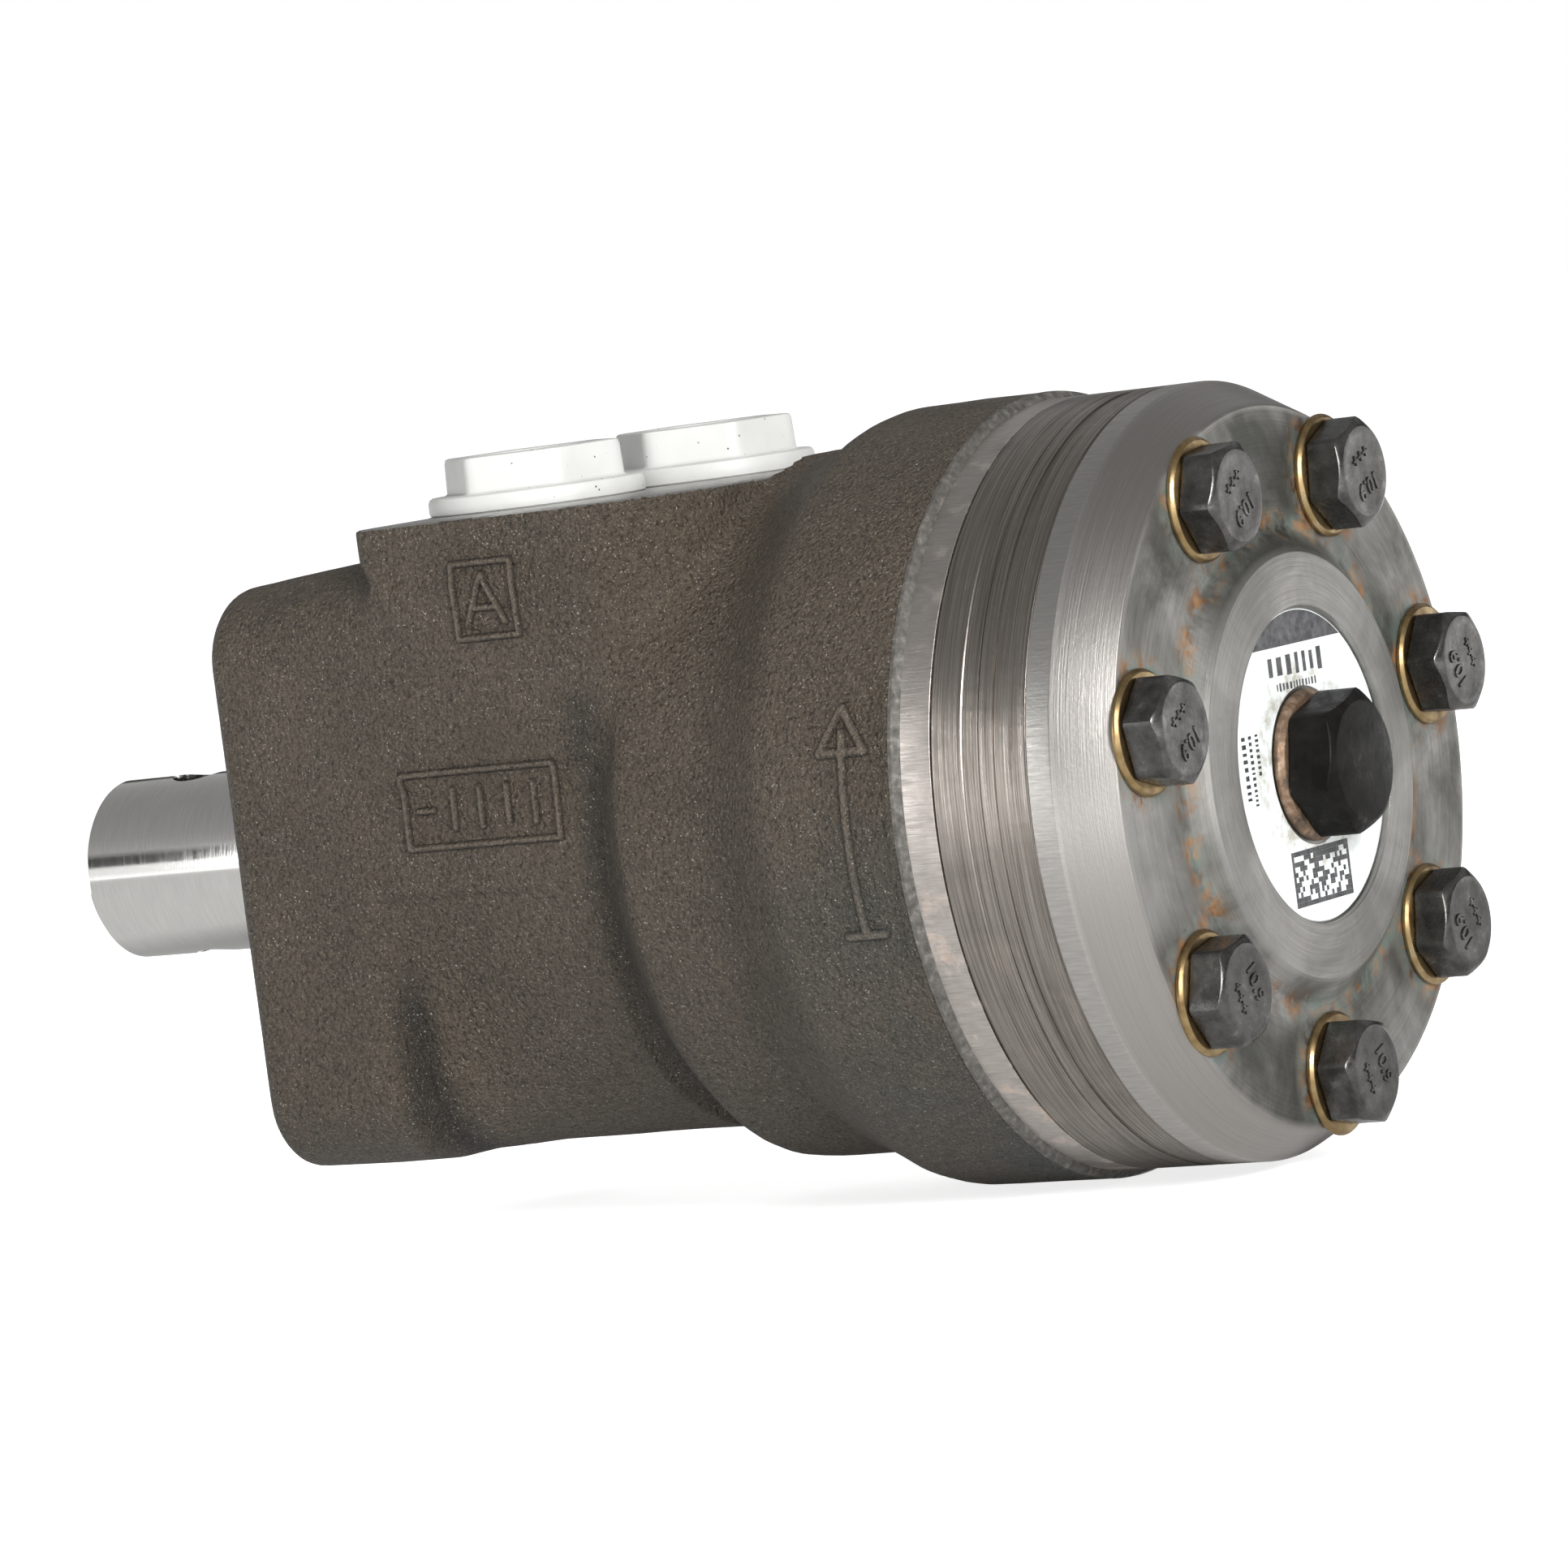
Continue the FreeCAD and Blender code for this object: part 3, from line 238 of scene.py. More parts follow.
def turned_steel(name, base, dark, marks=(3800, 3800, 2.5), rough=0.3, rust=0.0, blotch=0.25, grooves=0.5):
    """Bare steel with fine tool marks, which are stretched by how often they repeat along x, radius and angle."""
    s = Shader(name, metallic=1.0)
    marks = s.noise(1.0, 3, 0.6, s.around(*marks))
    patches = s.noise(130, 5, 0.65)
    colour = s.blend(s.remap(marks, 0.3, 0.7), dark, base)
    stain = s.times(s.remap(patches, 0.5, 0.72), blotch)
    colour = s.blend(stain, colour, (0.11, 0.1, 0.09))
    if rust:
        brown = s.ramp(s.noise(900, 3, 0.6), (0.3, (0.13, 0.065, 0.03)), (0.7, (0.24, 0.145, 0.08)))
        # Rust sits mostly on the lower half.
        _, _, z = s.axes()
        where = s.times(s.remap(s.noise(210, 5, 0.7), 0.54, 0.64), s.remap(z, 0.012, -0.02, 0.15, 1.0))
        rusty = s.times(where, rust)
        colour = s.blend(rusty, colour, brown)
        s.metal(s.remap(rusty, 0.0, 1.0, 1.0, 0.3))
    s.colour(colour)
    s.rough(s.plus(s.remap(marks, 0.3, 0.7, rough + 0.2 * grooves, rough - 0.04), s.times(stain, 0.4)))
    s.bump(marks, 0.00006, grooves)
    s.bump(s.noise(2200, 2, 0.5), 0.00003, 0.7 * grooves)
    return s.mat


def mottled(name, tone, stops, rough, bump=None, **surface):
    """A plain material: one noise drives the colour and the roughness, and another may raise the surface."""
    s = Shader(name, **surface)
    tone = s.noise(*tone)
    s.colour(s.ramp(tone, *stops))
    s.rough(s.remap(tone, 0.3, 0.7, *rough))
    if bump:
        grain, depth, strength = bump
        s.bump(s.noise(*grain), depth, strength)
    return s.mat


def cover_steel():
    """The end cover: a bright chamfer and a mottled flat, stained round the washers and the boss."""
    s = Shader("cover_ground_steel", metallic=1.0)
    rings = s.noise(1.0, 3, 0.6, s.around(5000, 5000, 2.2))
    strokes = s.noise(1.0, 3, 0.6, s.around(240, 60, 120))
    x, y, z = s.axes()
    on_band = s.remap(x, -0.1349, -0.1342)
    marks = s.plus(s.times(rings, s.maths("SUBTRACT", 1.0, on_band)), s.times(strokes, on_band))
    cloud = s.noise(62, 5, 0.6, distortion=0.5)
    r = s.radius()
    on_cone = s.times(s.remap(x, -0.1343, -0.135), s.remap(r, 0.0466, 0.0472))
    bright = s.blend(s.remap(marks, 0.3, 0.7), (0.42, 0.405, 0.385), (0.54, 0.525, 0.5))
    grey = s.blend(s.remap(marks, 0.2, 0.8), (0.37, 0.35, 0.33), (0.43, 0.41, 0.39))
    base = s.blend(on_cone, bright, grey)
    on_flat = s.times(s.remap(r, 0.0475, 0.0462), s.remap(x, -0.1408, -0.1414))
    tarnish = s.times(s.remap(cloud, 0.36, 0.62, 0.35, 1.0), on_flat)
    tarnish = s.times(tarnish, s.remap(x, -0.1436, -0.1441, 1.0, 0.55))
    # The side towards +Y has less tarnish, so it is lighter than the rest.
    plus_y_patch = s.times(s.remap(y, 0.024, 0.04), s.remap(s.maths("ABSOLUTE", z), 0.024, 0.012))
    tarnish = s.times(tarnish, s.remap(plus_y_patch, 0.0, 1.0, 1.0, 0.45))
    colour = s.blend(s.times(tarnish, 0.88), base, (0.085, 0.087, 0.074))
    # Stains gather in the corner at the foot of the boss and round each washer.
    near = s.remap(s.maths("ABSOLUTE", s.maths("SUBTRACT", r, 0.0315)), 0.0028, 0.0006)
    for bolt_y, bolt_z in COVER_BOLTS:
        away = s.radius(bolt_y * MM, bolt_z * MM)
        near = s.maths("MAXIMUM", near, s.remap(away, 0.0112, 0.0086))
    near = s.times(near, on_flat)
    green = s.times(near, s.remap(s.noise(170, 5, 0.7), 0.42, 0.6))
    colour = s.blend(s.times(green, 0.75), colour, (0.075, 0.115, 0.1))
    brown = s.times(near, s.remap(s.noise(230, 5, 0.7, distortion=0.4), 0.5, 0.62))
    colour = s.blend(s.times(brown, 0.85), colour, (0.3, 0.15, 0.06))
    s.colour(colour)
    dull = s.maths("MAXIMUM", s.times(tarnish, 0.6), s.times(near, 0.6))
    s.rough(s.plus(s.remap(marks, 0.3, 0.7, 0.44, 0.32), s.times(dull, 0.3)))
    s.metal(s.remap(green, 0.0, 1.0, 1.0, 0.55))
    s.bump(marks, 0.00006, 0.5)
    s.bump(cloud, 0.0002, 0.3)
    s.bump(s.noise(1700, 3, 0.6), 0.00005, 0.5)
    return s.mat


def black_oxide():
    s = Shader("black_oxide", metallic=0.95)
    wear = s.noise(330, 5, 0.65)
    s.colour(s.ramp(wear, (0.32, (0.055, 0.053, 0.052)), (0.6, (0.12, 0.117, 0.112)), (0.8, (0.3, 0.285, 0.265))))
    s.rough(s.remap(s.noise(800, 3, 0.6), 0.3, 0.7, 0.34, 0.18))
    s.bump(s.noise(1400, 3, 0.6), 0.00005, 0.5)
    s.bump(s.noise(260, 2, 0.5), 0.00014, 0.3)
    return s.mat


def plug_plastic():
    """White moulded plastic with a little black dust."""
    s = Shader("white_plastic", specular=0.45)
    tone = s.noise(120, 3, 0.5)
    colour = s.ramp(tone, (0.3, (0.34, 0.34, 0.326)), (0.7, (0.38, 0.38, 0.37)))
    speck = s.remap(s.cells(620), 0.1, 0.075)
    speck = s.times(speck, s.remap(s.noise(190, 2, 0.5), 0.47, 0.53))
    s.colour(s.blend(speck, colour, (0.03, 0.03, 0.03)))
    s.rough(s.remap(tone, 0.3, 0.7, 0.46, 0.36))
    s.bump(s.noise(900, 3, 0.5), 0.00005, 0.4)
    s.put(s.out.inputs["Subsurface Weight"], 0.08)
    s.put(s.out.inputs["Subsurface Radius"], (0.002, 0.002, 0.002))
    return s.mat


def label_paper():
    s = Shader("label_white")
    tone = s.noise(240, 4, 0.6)
    colour = s.ramp(tone, (0.3, (0.4, 0.42, 0.42)), (0.7, (0.46, 0.48, 0.48)))
    # Oily dirt round the plug and at the rim.
    r = s.radius()
    dirt = s.maths("MAXIMUM", s.remap(r, 0.0165, 0.0125), s.remap(r, 0.0212, 0.0225))
    dirt = s.times(dirt, s.remap(s.noise(320, 5, 0.7), 0.45, 0.62))
    s.colour(s.blend(s.times(dirt, 0.7), colour, (0.17, 0.15, 0.1)))
    s.rough(s.remap(tone, 0.3, 0.7, 0.42, 0.3))
    s.bump(s.noise(300, 2, 0.5), 0.0001, 0.2)
    return s.mat


CAST = cast_iron()
CAST_MARK = cast_iron("cast_iron_mark", marked=True)
REGISTER = turned_steel("register_steel", (0.66, 0.615, 0.575), (0.47, 0.43, 0.4), (260, 60, 190), rust=0.6)
RING = turned_steel("ring_steel", (0.43, 0.395, 0.36), (0.16, 0.14, 0.12), (4200, 4200, 2.5), rough=0.28, rust=0.1)
MACHINED = turned_steel("machined_face", (0.6, 0.59, 0.57), (0.44, 0.43, 0.415), (2600, 2600, 2.5), rough=0.36)
POLISH = {"rough": 0.12, "blotch": 0.05, "grooves": 0.08}
SHAFT = turned_steel("polished_shaft", (0.76, 0.75, 0.725), (0.68, 0.67, 0.65), (3000, 3000, 2.5), **POLISH)
INNER = turned_steel("hardened_steel", (0.66, 0.66, 0.66), (0.5, 0.5, 0.5), rough=0.24)
COVER = cover_steel()
BLACK = black_oxide()
PLUG = plug_plastic()
PAPER = label_paper()
# The worn edge behind the casting: grey-green, coarse, half bare metal.
BEVEL = mottled(
    "worn_bevel",
    (900, 4, 0.65),
    ((0.35, (0.036, 0.034, 0.03)), (0.55, (0.066, 0.062, 0.056)), (0.72, (0.12, 0.113, 0.102))),
    (0.6, 0.4),
    ((1100, 3, 0.6), 0.00016, 0.6),
    metallic=0.3,
)
PLUG_BLACK = mottled(
    "plug_black",
    (380, 4, 0.6),
    ((0.35, (0.003, 0.0028, 0.0025)), (0.65, (0.006, 0.0055, 0.005)), (0.8, (0.025, 0.023, 0.021))),
    (0.38, 0.2),
    ((1200, 3, 0.6), 0.00006, 0.5),
    specular=0.06,
)
WASHER = mottled(
    "yellow_washer",
    (260, 4, 0.6),
    ((0.3, (0.16, 0.1, 0.05)), (0.55, (0.38, 0.27, 0.13)), (0.75, (0.52, 0.42, 0.26))),
    (0.42, 0.24),
    ((1900, 3, 0.6), 0.00004, 0.5),
    metallic=1.0,
)
DIRTY = mottled(
    "rusty_washer",
    (420, 5, 0.7),
    ((0.35, (0.05, 0.042, 0.035)), (0.55, (0.17, 0.11, 0.07)), (0.72, (0.3, 0.24, 0.19))),
    (0.6, 0.4),
    ((420, 5, 0.7), 0.00015, 0.6),
    metallic=0.7,
)
RUBBER = mottled(
    "black_rubber",
    (500, 3, 0.6),
    ((0.3, (0.012, 0.012, 0.012)), (0.7, (0.03, 0.03, 0.029))),
    (0.7, 0.5),
    ((2200, 2, 0.5), 0.00005, 0.5),
)
INK = mottled("label_ink", (900, 3, 0.6), ((0.3, (0.012, 0.012, 0.014)), (0.75, (0.05, 0.05, 0.052))), (0.5, 0.35))
BACKUP = mottled(
    "backup_plastic",
    (400, 3, 0.6),
    ((0.3, (0.62, 0.6, 0.54)), (0.7, (0.72, 0.7, 0.64))),
    (0.45, 0.45),
    ((400, 3, 0.6), 0.00005, 0.4),
)


# ---- mesh helpers


def add(name, data):
    """A new object in the scene."""
    obj = bpy.data.objects.new(name, data)
    bpy.context.scene.collection.objects.link(obj)
    return obj


def shade(mesh, limit):
    """Shade smooth, but keep edges that turn by more degrees than the limit."""
    mesh.shade_smooth()
    mesh.set_sharp_from_angle(angle=radians(limit))


def piece(name, vertices, faces, material, body=HOUSING, smooth=35.0):
    """A mesh object from millimetre points, shaded smooth up to an angle, riding on a body."""
    mesh = bpy.data.meshes.new(name)
    mesh.from_pydata([tuple(c * MM for c in point) for point in vertices], [], faces)
    mesh.materials.append(material)
    tidy = bmesh.new()
    tidy.from_mesh(mesh)
    bmesh.ops.recalc_face_normals(tidy, faces=tidy.faces)
    tidy.to_mesh(mesh)
    tidy.free()
    obj = add(name, mesh)
    shade(mesh, smooth)
    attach(obj, body)
    return obj


def bridge(first, second, count):
    """Faces between two rings of vertices, given by where each ring starts."""
    return [(first + n, first + (n + 1) % count, second + (n + 1) % count, second + n) for n in range(count)]


def fan(ring, tip, count):
    """Faces between a ring of vertices and a point."""
    return [(ring + n, ring + (n + 1) % count, tip) for n in range(count)]


def arc_corner(before, corner, after, radius, steps=5):
    """Points that round one corner of a profile."""
    a, b, c = (np.array(p, float) for p in (before, corner, after))
    u, v = (a - b) / np.linalg.norm(a - b), (c - b) / np.linalg.norm(c - b)
    half = acos(max(-1.0, min(1.0, float(u @ v)))) / 2
    reach = radius / tan(half)
    middle = b + (u + v) / np.linalg.norm(u + v) * radius / sin(half)
    start, end = b + u * reach - middle, b + v * reach - middle
    points = []
    for step in range(steps + 1):
        way = start * (1 - step / steps) + end * (step / steps)
        points.append(tuple(middle + way / np.linalg.norm(way) * radius))
    return points


def profile(*corners):
    """An outline of (x, radius) points; a third number rounds that corner by that much."""
    out = []
    for index, corner in enumerate(corners):
        if len(corner) == 3:
            out += arc_corner(corners[index - 1][:2], corner[:2], corners[index + 1][:2], corner[2])
        else:
            out.append(corner)
    return out


def lathe(name, points, material, segments=160, centre=(0.0, 0.0), body=HOUSING, closed=False, smooth=30.0):
    """Turn a (x, radius) outline about an axis along the shaft."""
    vertices, faces, rings = [], [], []
    for x, r in points:
        rings.append((len(vertices), r < 1e-6))
        if r < 1e-6:
            vertices.append((x, *centre))
            continue
        for step in range(segments):
            angle = 2 * pi * step / segments
            vertices.append((x, centre[0] + r * cos(angle), centre[1] + r * sin(angle)))
    for (first, first_tip), (second, second_tip) in zip(rings, rings[1:] + rings[:1] if closed else rings[1:]):
        if first_tip:
            faces += fan(second, first, segments)
        elif second_tip:
            faces += fan(first, second, segments)
        else:
            faces += bridge(first, second, segments)
    return piece(name, vertices, faces, material, body, smooth)


def joined(name, objects):
    """Join several objects into one, which keeps the first one's body."""
    bpy.ops.object.select_all(action="DESELECT")
    for obj in objects:
        obj.select_set(True)
    bpy.context.view_layer.objects.active = objects[0]
    bpy.ops.object.join()
    objects[0].name = name
    objects[0].data.name = name
    return objects[0]


def cut(obj, tool):
    """Cut the tool's shape out of an object, and remove the tool."""
    step = obj.modifiers.new("cut", "BOOLEAN")
    step.object, step.operation, step.solver = tool, "DIFFERENCE", "EXACT"
    bpy.context.view_layer.update()
    result = bpy.data.meshes.new_from_object(obj.evaluated_get(bpy.context.evaluated_depsgraph_get()))
    obj.modifiers.clear()
    obj.data = result
    bpy.data.objects.remove(tool)


# ---- the casting


def smooth_min(a, b, k):
    h = np.clip(0.5 + 0.5 * (b - a) / k, 0, 1)
    return b * (1 - h) + a * h - k * h * (1 - h)


def smooth_step(x, low, high):
    t = np.clip((x - low) / (high - low), 0, 1)
    return t * t * (3 - 2 * t)


def edge_rounded(a, b, radius):
    """Intersection of two fields with a round edge between them."""
    both = np.sqrt(np.maximum(a + radius, 0) ** 2 + np.maximum(b + radius, 0) ** 2)
    return both + np.minimum(np.maximum(a, b) + radius, 0) - radius


def square_field(y, z, half_y, half_z, corner):
    qy, qz = np.abs(y) - (half_y - corner), np.abs(z) - (half_z - corner)
    return np.hypot(np.maximum(qy, 0), np.maximum(qz, 0)) + np.minimum(np.maximum(qy, qz), 0) - corner


def lattice_noise(shape, step, spacing):
    """Smooth random field on the grid, from a coarse random lattice."""
    field = rng.uniform(-1, 1, [int(n * step / spacing) + 3 for n in shape])
    for axis, n in enumerate(shape):
        place = np.arange(n) * step / spacing
        low = place.astype(int)
        t = place - low
        t = t * t * (3 - 2 * t)
        wide = [1, 1, 1]
        wide[axis] = n
        t = t.reshape(wide)
        field = np.take(field, low, axis) * (1 - t) + np.take(field, low + 1, axis) * t
    return field


def strokes(u, v, lines, half):
    """Raised stroke height, 0 to 1, of straight lines on a flat patch."""
    best = np.full(u.shape, 1e9)
    for (u0, v0), (u1, v1) in lines:
        du, dv = u1 - u0, v1 - v0
        t = np.clip(((u - u0) * du + (v - v0) * dv) / (du * du + dv * dv), 0, 1)
        best = np.minimum(best, np.hypot(u - u0 - t * du, v - v0 - t * dv))
    return 1 - smooth_step(best, half * 0.35, half * 1.7)


def frame_lines(u0, v0, u1, v1):
    corners = [(u0, v0), (u1, v0), (u1, v1), (u0, v1)]
    return list(zip(corners, corners[1:] + corners[:1]))


def casting_field(step):
    """Distance to the skin of the housing casting, on a grid, with the grid's origin."""
    origin = np.array([-114.0, -54.5, -54.5])
    shape = [int(round(length / step)) + 1 for length in (117.0, 109.0, 109.0)]
    along = [(origin[axis] + step * np.arange(n)).astype(np.float32) for axis, n in enumerate(shape)]
    x, y, z = (line.reshape([-1 if a == axis else 1 for a in range(3)]) for axis, line in enumerate(along))
    side = np.abs(y)
    r = np.hypot(y, z)

    # Waist, collar and bell, turned about the shaft axis.
    stations = (-120, -93.0, -91.0, -82.5, -80.0, -67.5, -66.0, -60.8, -59.0, -20, 5)
    radii = (52.0, 52.0, 51.6, 47.2, 46.9, 46.9, 46.5, 41.2, 40.8, 40.8, 40.8)
    fine = np.linspace(-120, 5, 1251)
    outline = np.interp(fine, stations, radii)
    window = np.hanning(27)
    outline = np.convolve(np.pad(outline, 13, mode="edge"), window / window.sum(), "valid")
    slope = np.gradient(outline, fine)
    radius = np.interp(x, fine, outline)
    lean = 1 / np.sqrt(1 + np.interp(x, fine, slope) ** 2)
    turned = (r - radius) * lean
    turned = np.maximum(turned, x + 20.0)

    # Square flange; its upper side slopes up a little towards the ports.
    top = FLANGE_TOP + np.clip(-x, 0, 30) * 0.095
    middle, half_z = (top + FLANGE_LOW) / 2, (top - FLANGE_LOW) / 2
    square = square_field(y, z - middle, FLANGE_HALF, half_z, FLANGE_CORNER)
    flange = edge_rounded(square, np.maximum(x + 0.2, -24.0 - x) + 0 * r, 3.0)
    upper = edge_rounded(np.maximum(square, 12.0 - z), np.maximum(x + 0.2, -34.0 - x) + 0 * r, 3.0)
    flange = np.minimum(flange, upper)

    # Flat sides, from the ports down to the level of the shaft axis.
    flat = side - 41.0 + 0.12 * np.clip(x + 27.0, 0, 15)
    wall = np.maximum(np.maximum(flat, z - 36.0), np.maximum(-3.0 - z, np.maximum(x + 12.0, -64.0 - x)))
    wall = np.maximum(wall, square - np.clip(-27.0 - x, 0, 20))

    # Lugs that taper from the flange's lower corners to the round waist.
    corner = np.minimum(np.interp(x, (-56.0, -22.0), (38.0, 12.5)), 35.0)
    taper = square_field(y, z, np.interp(x, (-56.0, -33.0, -23.0), (38.5, 35.6, 36.6)), 40.5, corner)
    taper = np.maximum(np.maximum(taper, z - 25.0), np.maximum(x + 8.0, -56.0 - x))

    # Port block: rounded rear corners, a small step in front and slightly proud sides.
    proud = 41.0 + 1.0 * smooth_step(z, 27, 44)
    qx, qy = -(x + 47.0) - (30.0 - 17.0), side - (proud - 17.0)
    rear = np.hypot(np.maximum(qx, 0), np.maximum(qy, 0)) + np.minimum(np.maximum(qx, qy), 0) - 17.0
    step_face = -28.0 - 0.42 * np.clip(41.0 - z, 0, 12)
    block = edge_rounded(rear, x - step_face, 1.2)
    block = np.maximum(np.maximum(block, 14.0 - z), z - 60.0)
    # The front port needs a round boss, because its seat reaches the block's front edge.
    front_x, front_y = PORTS["a"]
    boss = np.maximum(np.hypot(x - front_x, y - front_y) - 15.4, np.maximum(27.0 - z, z - 60.0))
    block = smooth_min(block, boss, 1.6)

    body = smooth_min(turned, taper, 5.0)
    body = smooth_min(body, wall, 2.5)
    body = smooth_min(body, block, 3.2)
    body = smooth_min(body, flange, 2.6)

    # A shallow pocket on the bell for the rotation arrow.
    arc = np.arctan2(z, y) * 52.0
    pocket = np.maximum(np.abs(x + 104.4) - 5.8, np.abs(arc) - 20.3)
    body = body + 0.4 * (1 - smooth_step(pocket, -0.9, 0.9)) * (r > 45)

    # Uneven sand-cast skin.
    uneven = 0.16 * lattice_noise(shape, step, 7.0) + 0.07 * lattice_noise(shape, step, 2.4)
    body = body + uneven * np.clip(-x / 3, 0, 1)

    # Machined openings: spool bore, seal bore, port holes; then the two flat faces.
    bore = np.maximum(np.where(x > -2.2, r - 18.2, np.where(x > -10.4, r - 17.8, r - 19.25)), x - 9)
    body = np.maximum(body, -bore)
    for px, py in PORTS.values():
        body = np.maximum(body, -np.maximum(np.hypot(x - px, y - py) - 12.0, 31.0 - z))
    for hole_y, hole_z in MOUNT_HOLES:
        hole = np.hypot(y - hole_y, z - hole_z) - 4.6
        body = np.maximum(body, -np.maximum(hole, -15.3 - x))
    body = np.where(x > -77.4, np.maximum(body, np.minimum(z - PORT_FACE, 3.0)), body)
    body = np.maximum(body, CAST_REAR - x)
    return body.astype(np.float32), origin


def casting():
    step = GRID_STEP
    field, origin = casting_field(step)
    grid = openvdb.FloatGrid(3.0)
    grid.copyFromArray(np.clip(field / step, -3, 3).astype(np.float32))
    points, triangles, quads = grid.convertToPolygons(0.0, 0.012)
    points = (points * step + origin) * MM
    mesh = bpy.data.meshes.new("housing_casting")
    faces = [tuple(q[::-1]) for q in quads.tolist()] + [tuple(t[::-1]) for t in triangles.tolist()]
    mesh.from_pydata(points.tolist(), [], faces)
    mesh.materials.append(CAST)
    mesh.materials.append(MACHINED)
    tidy = bmesh.new()
    tidy.from_mesh(mesh)
    bmesh.ops.recalc_face_normals(tidy, faces=tidy.faces)
    bored = []
    for face in tidy.faces:
        middle = face.calc_center_median() / MM
        radius = hypot(middle.y, middle.z)
        flat_top = middle.z > PORT_FACE - 0.2 and face.normal.z > 0.9 and middle.x > -77.3
        if radius < 19.6 and middle.x < -0.5 and middle.z < 25:
            bored.append(face)
        from_port = min(hypot(middle.x - px, middle.y - py) for px, py in PORTS.values())
        in_port = 30 < middle.z < 45.4 and from_port < 12.3
        rear = middle.x < CAST_REAR + 0.15 and face.normal.x < -0.9
        if flat_top or in_port or rear:
            face.material_index = 1
    bmesh.ops.delete(tidy, geom=bored, context="FACES")
    tidy.to_mesh(mesh)
    tidy.free()
    obj = add("housing_casting", mesh)
    shade(mesh, 50)
    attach(obj, HOUSING)
    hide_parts("housing")
    bpy.context.view_layer.update()
    markings(obj)


def relief(name, tree, lines, place, half=0.42, height=0.85):
    """Cast-on marking: a fine skin just under the casting that rises through it along the strokes.

    place(u, v) gives the point to look from and the way to look, in millimetres."""
    margin, sink, pitch = 1.6, 0.16, 0.22
    points = np.array([p for line in lines for p in line])
    low, high = points.min(0) - margin, points.max(0) + margin
    across = [np.arange(low[i], high[i] + pitch, pitch) for i in range(2)]
    u, v = np.meshgrid(*across, indexing="ij")
    rise = (strokes(u, v, lines, half) * height).ravel()
    vertices = []
    for one_u, one_v, one_rise in zip(u.ravel(), v.ravel(), rise):
        start, way = place(one_u, one_v)
        way = Vector(way).normalized()
        hit = tree.ray_cast(Vector(start) * MM, way)[0]
        at = hit / MM if hit else Vector(start) + way * 10
        vertices.append(tuple(at - way * (one_rise - sink)))
    count = v.shape[1]
    faces = []
    for row in range(u.shape[0] - 1):
        for column in range(count - 1):
            a = row * count + column
            four = (a, a + 1, a + count + 1, a + count)
            # Keep only the skin that comes near the surface.
            if max(rise[i] for i in four) > sink / 2:
                faces.append(four)
    used = sorted({i for face in faces for i in face})
    index = {old: new for new, old in enumerate(used)}
    faces = [tuple(index[i] for i in face) for face in faces]
    obj = piece(name, [vertices[i] for i in used], faces, CAST_MARK, smooth=60)
    crest = obj.data.attributes.new("crest", "FLOAT", "POINT")
    crest.data.foreach_set("value", [float(rise[i]) / height for i in used])
    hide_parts("housing")


def markings(body):
    """Port letters in frames, a plain tally on each side, and a rotation arrow on the bell."""
    tree = BVHTree.FromObject(body, bpy.context.evaluated_depsgraph_get())
    panel = frame_lines(-52.4, 29.7, -42.9, 39.6)
    letter_a = [((-50.6, 31.5), (-47.6, 38.0)), ((-47.6, 38.0), (-44.6, 31.5)), ((-49.6, 33.6), (-45.6, 33.6))]
    bowls = [(-49.8, 38.0), (-46.4, 38.0), (-45.6, 36.6), (-46.6, 35.0)]
    bowls += [(-45.4, 33.2), (-46.2, 31.4), (-49.8, 31.4)]
    letter_b = list(zip(bowls, bowls[1:] + bowls[:1])) + [((-46.6, 35.0), (-49.8, 35.0))]
    tally = frame_lines(-54.6, 2.6, -30.4, 12.4)
    tally += [((-51.0 + 4.3 * n, 4.9), (-51.0 + 4.3 * n, 10.1)) for n in range(4)]
    tally += [((-34.8, 7.5), (-32.4, 7.5))]
    tip = [(-104.3, 16.8), (-100.9, 11.0), (-107.7, 11.0)]
    arrow = [((-104.3, -13.0), (-104.3, 13.5)), ((-101.6, -13.0), (-107.0, -13.0))]
    arrow += list(zip(tip, tip[1:] + tip[:1]))
    away = 60.0
    for sign, side, letter in ((1, "a", letter_a), (-1, "b", letter_b)):

        def flat_side(u, v):
            return (u, away * sign, v), (0, -sign, 0)

        relief(f"port_letter_{side}", tree, panel + letter, flat_side)
        relief(f"tally_{side}", tree, tally, flat_side)

    def round_bell(u, v):
        a = v / BELL_RADIUS
        return (u, away * cos(a), away * sin(a)), (0, -cos(a), -sin(a))

    relief("turn_arrow", tree, arrow, round_bell, half=0.6, height=0.66)


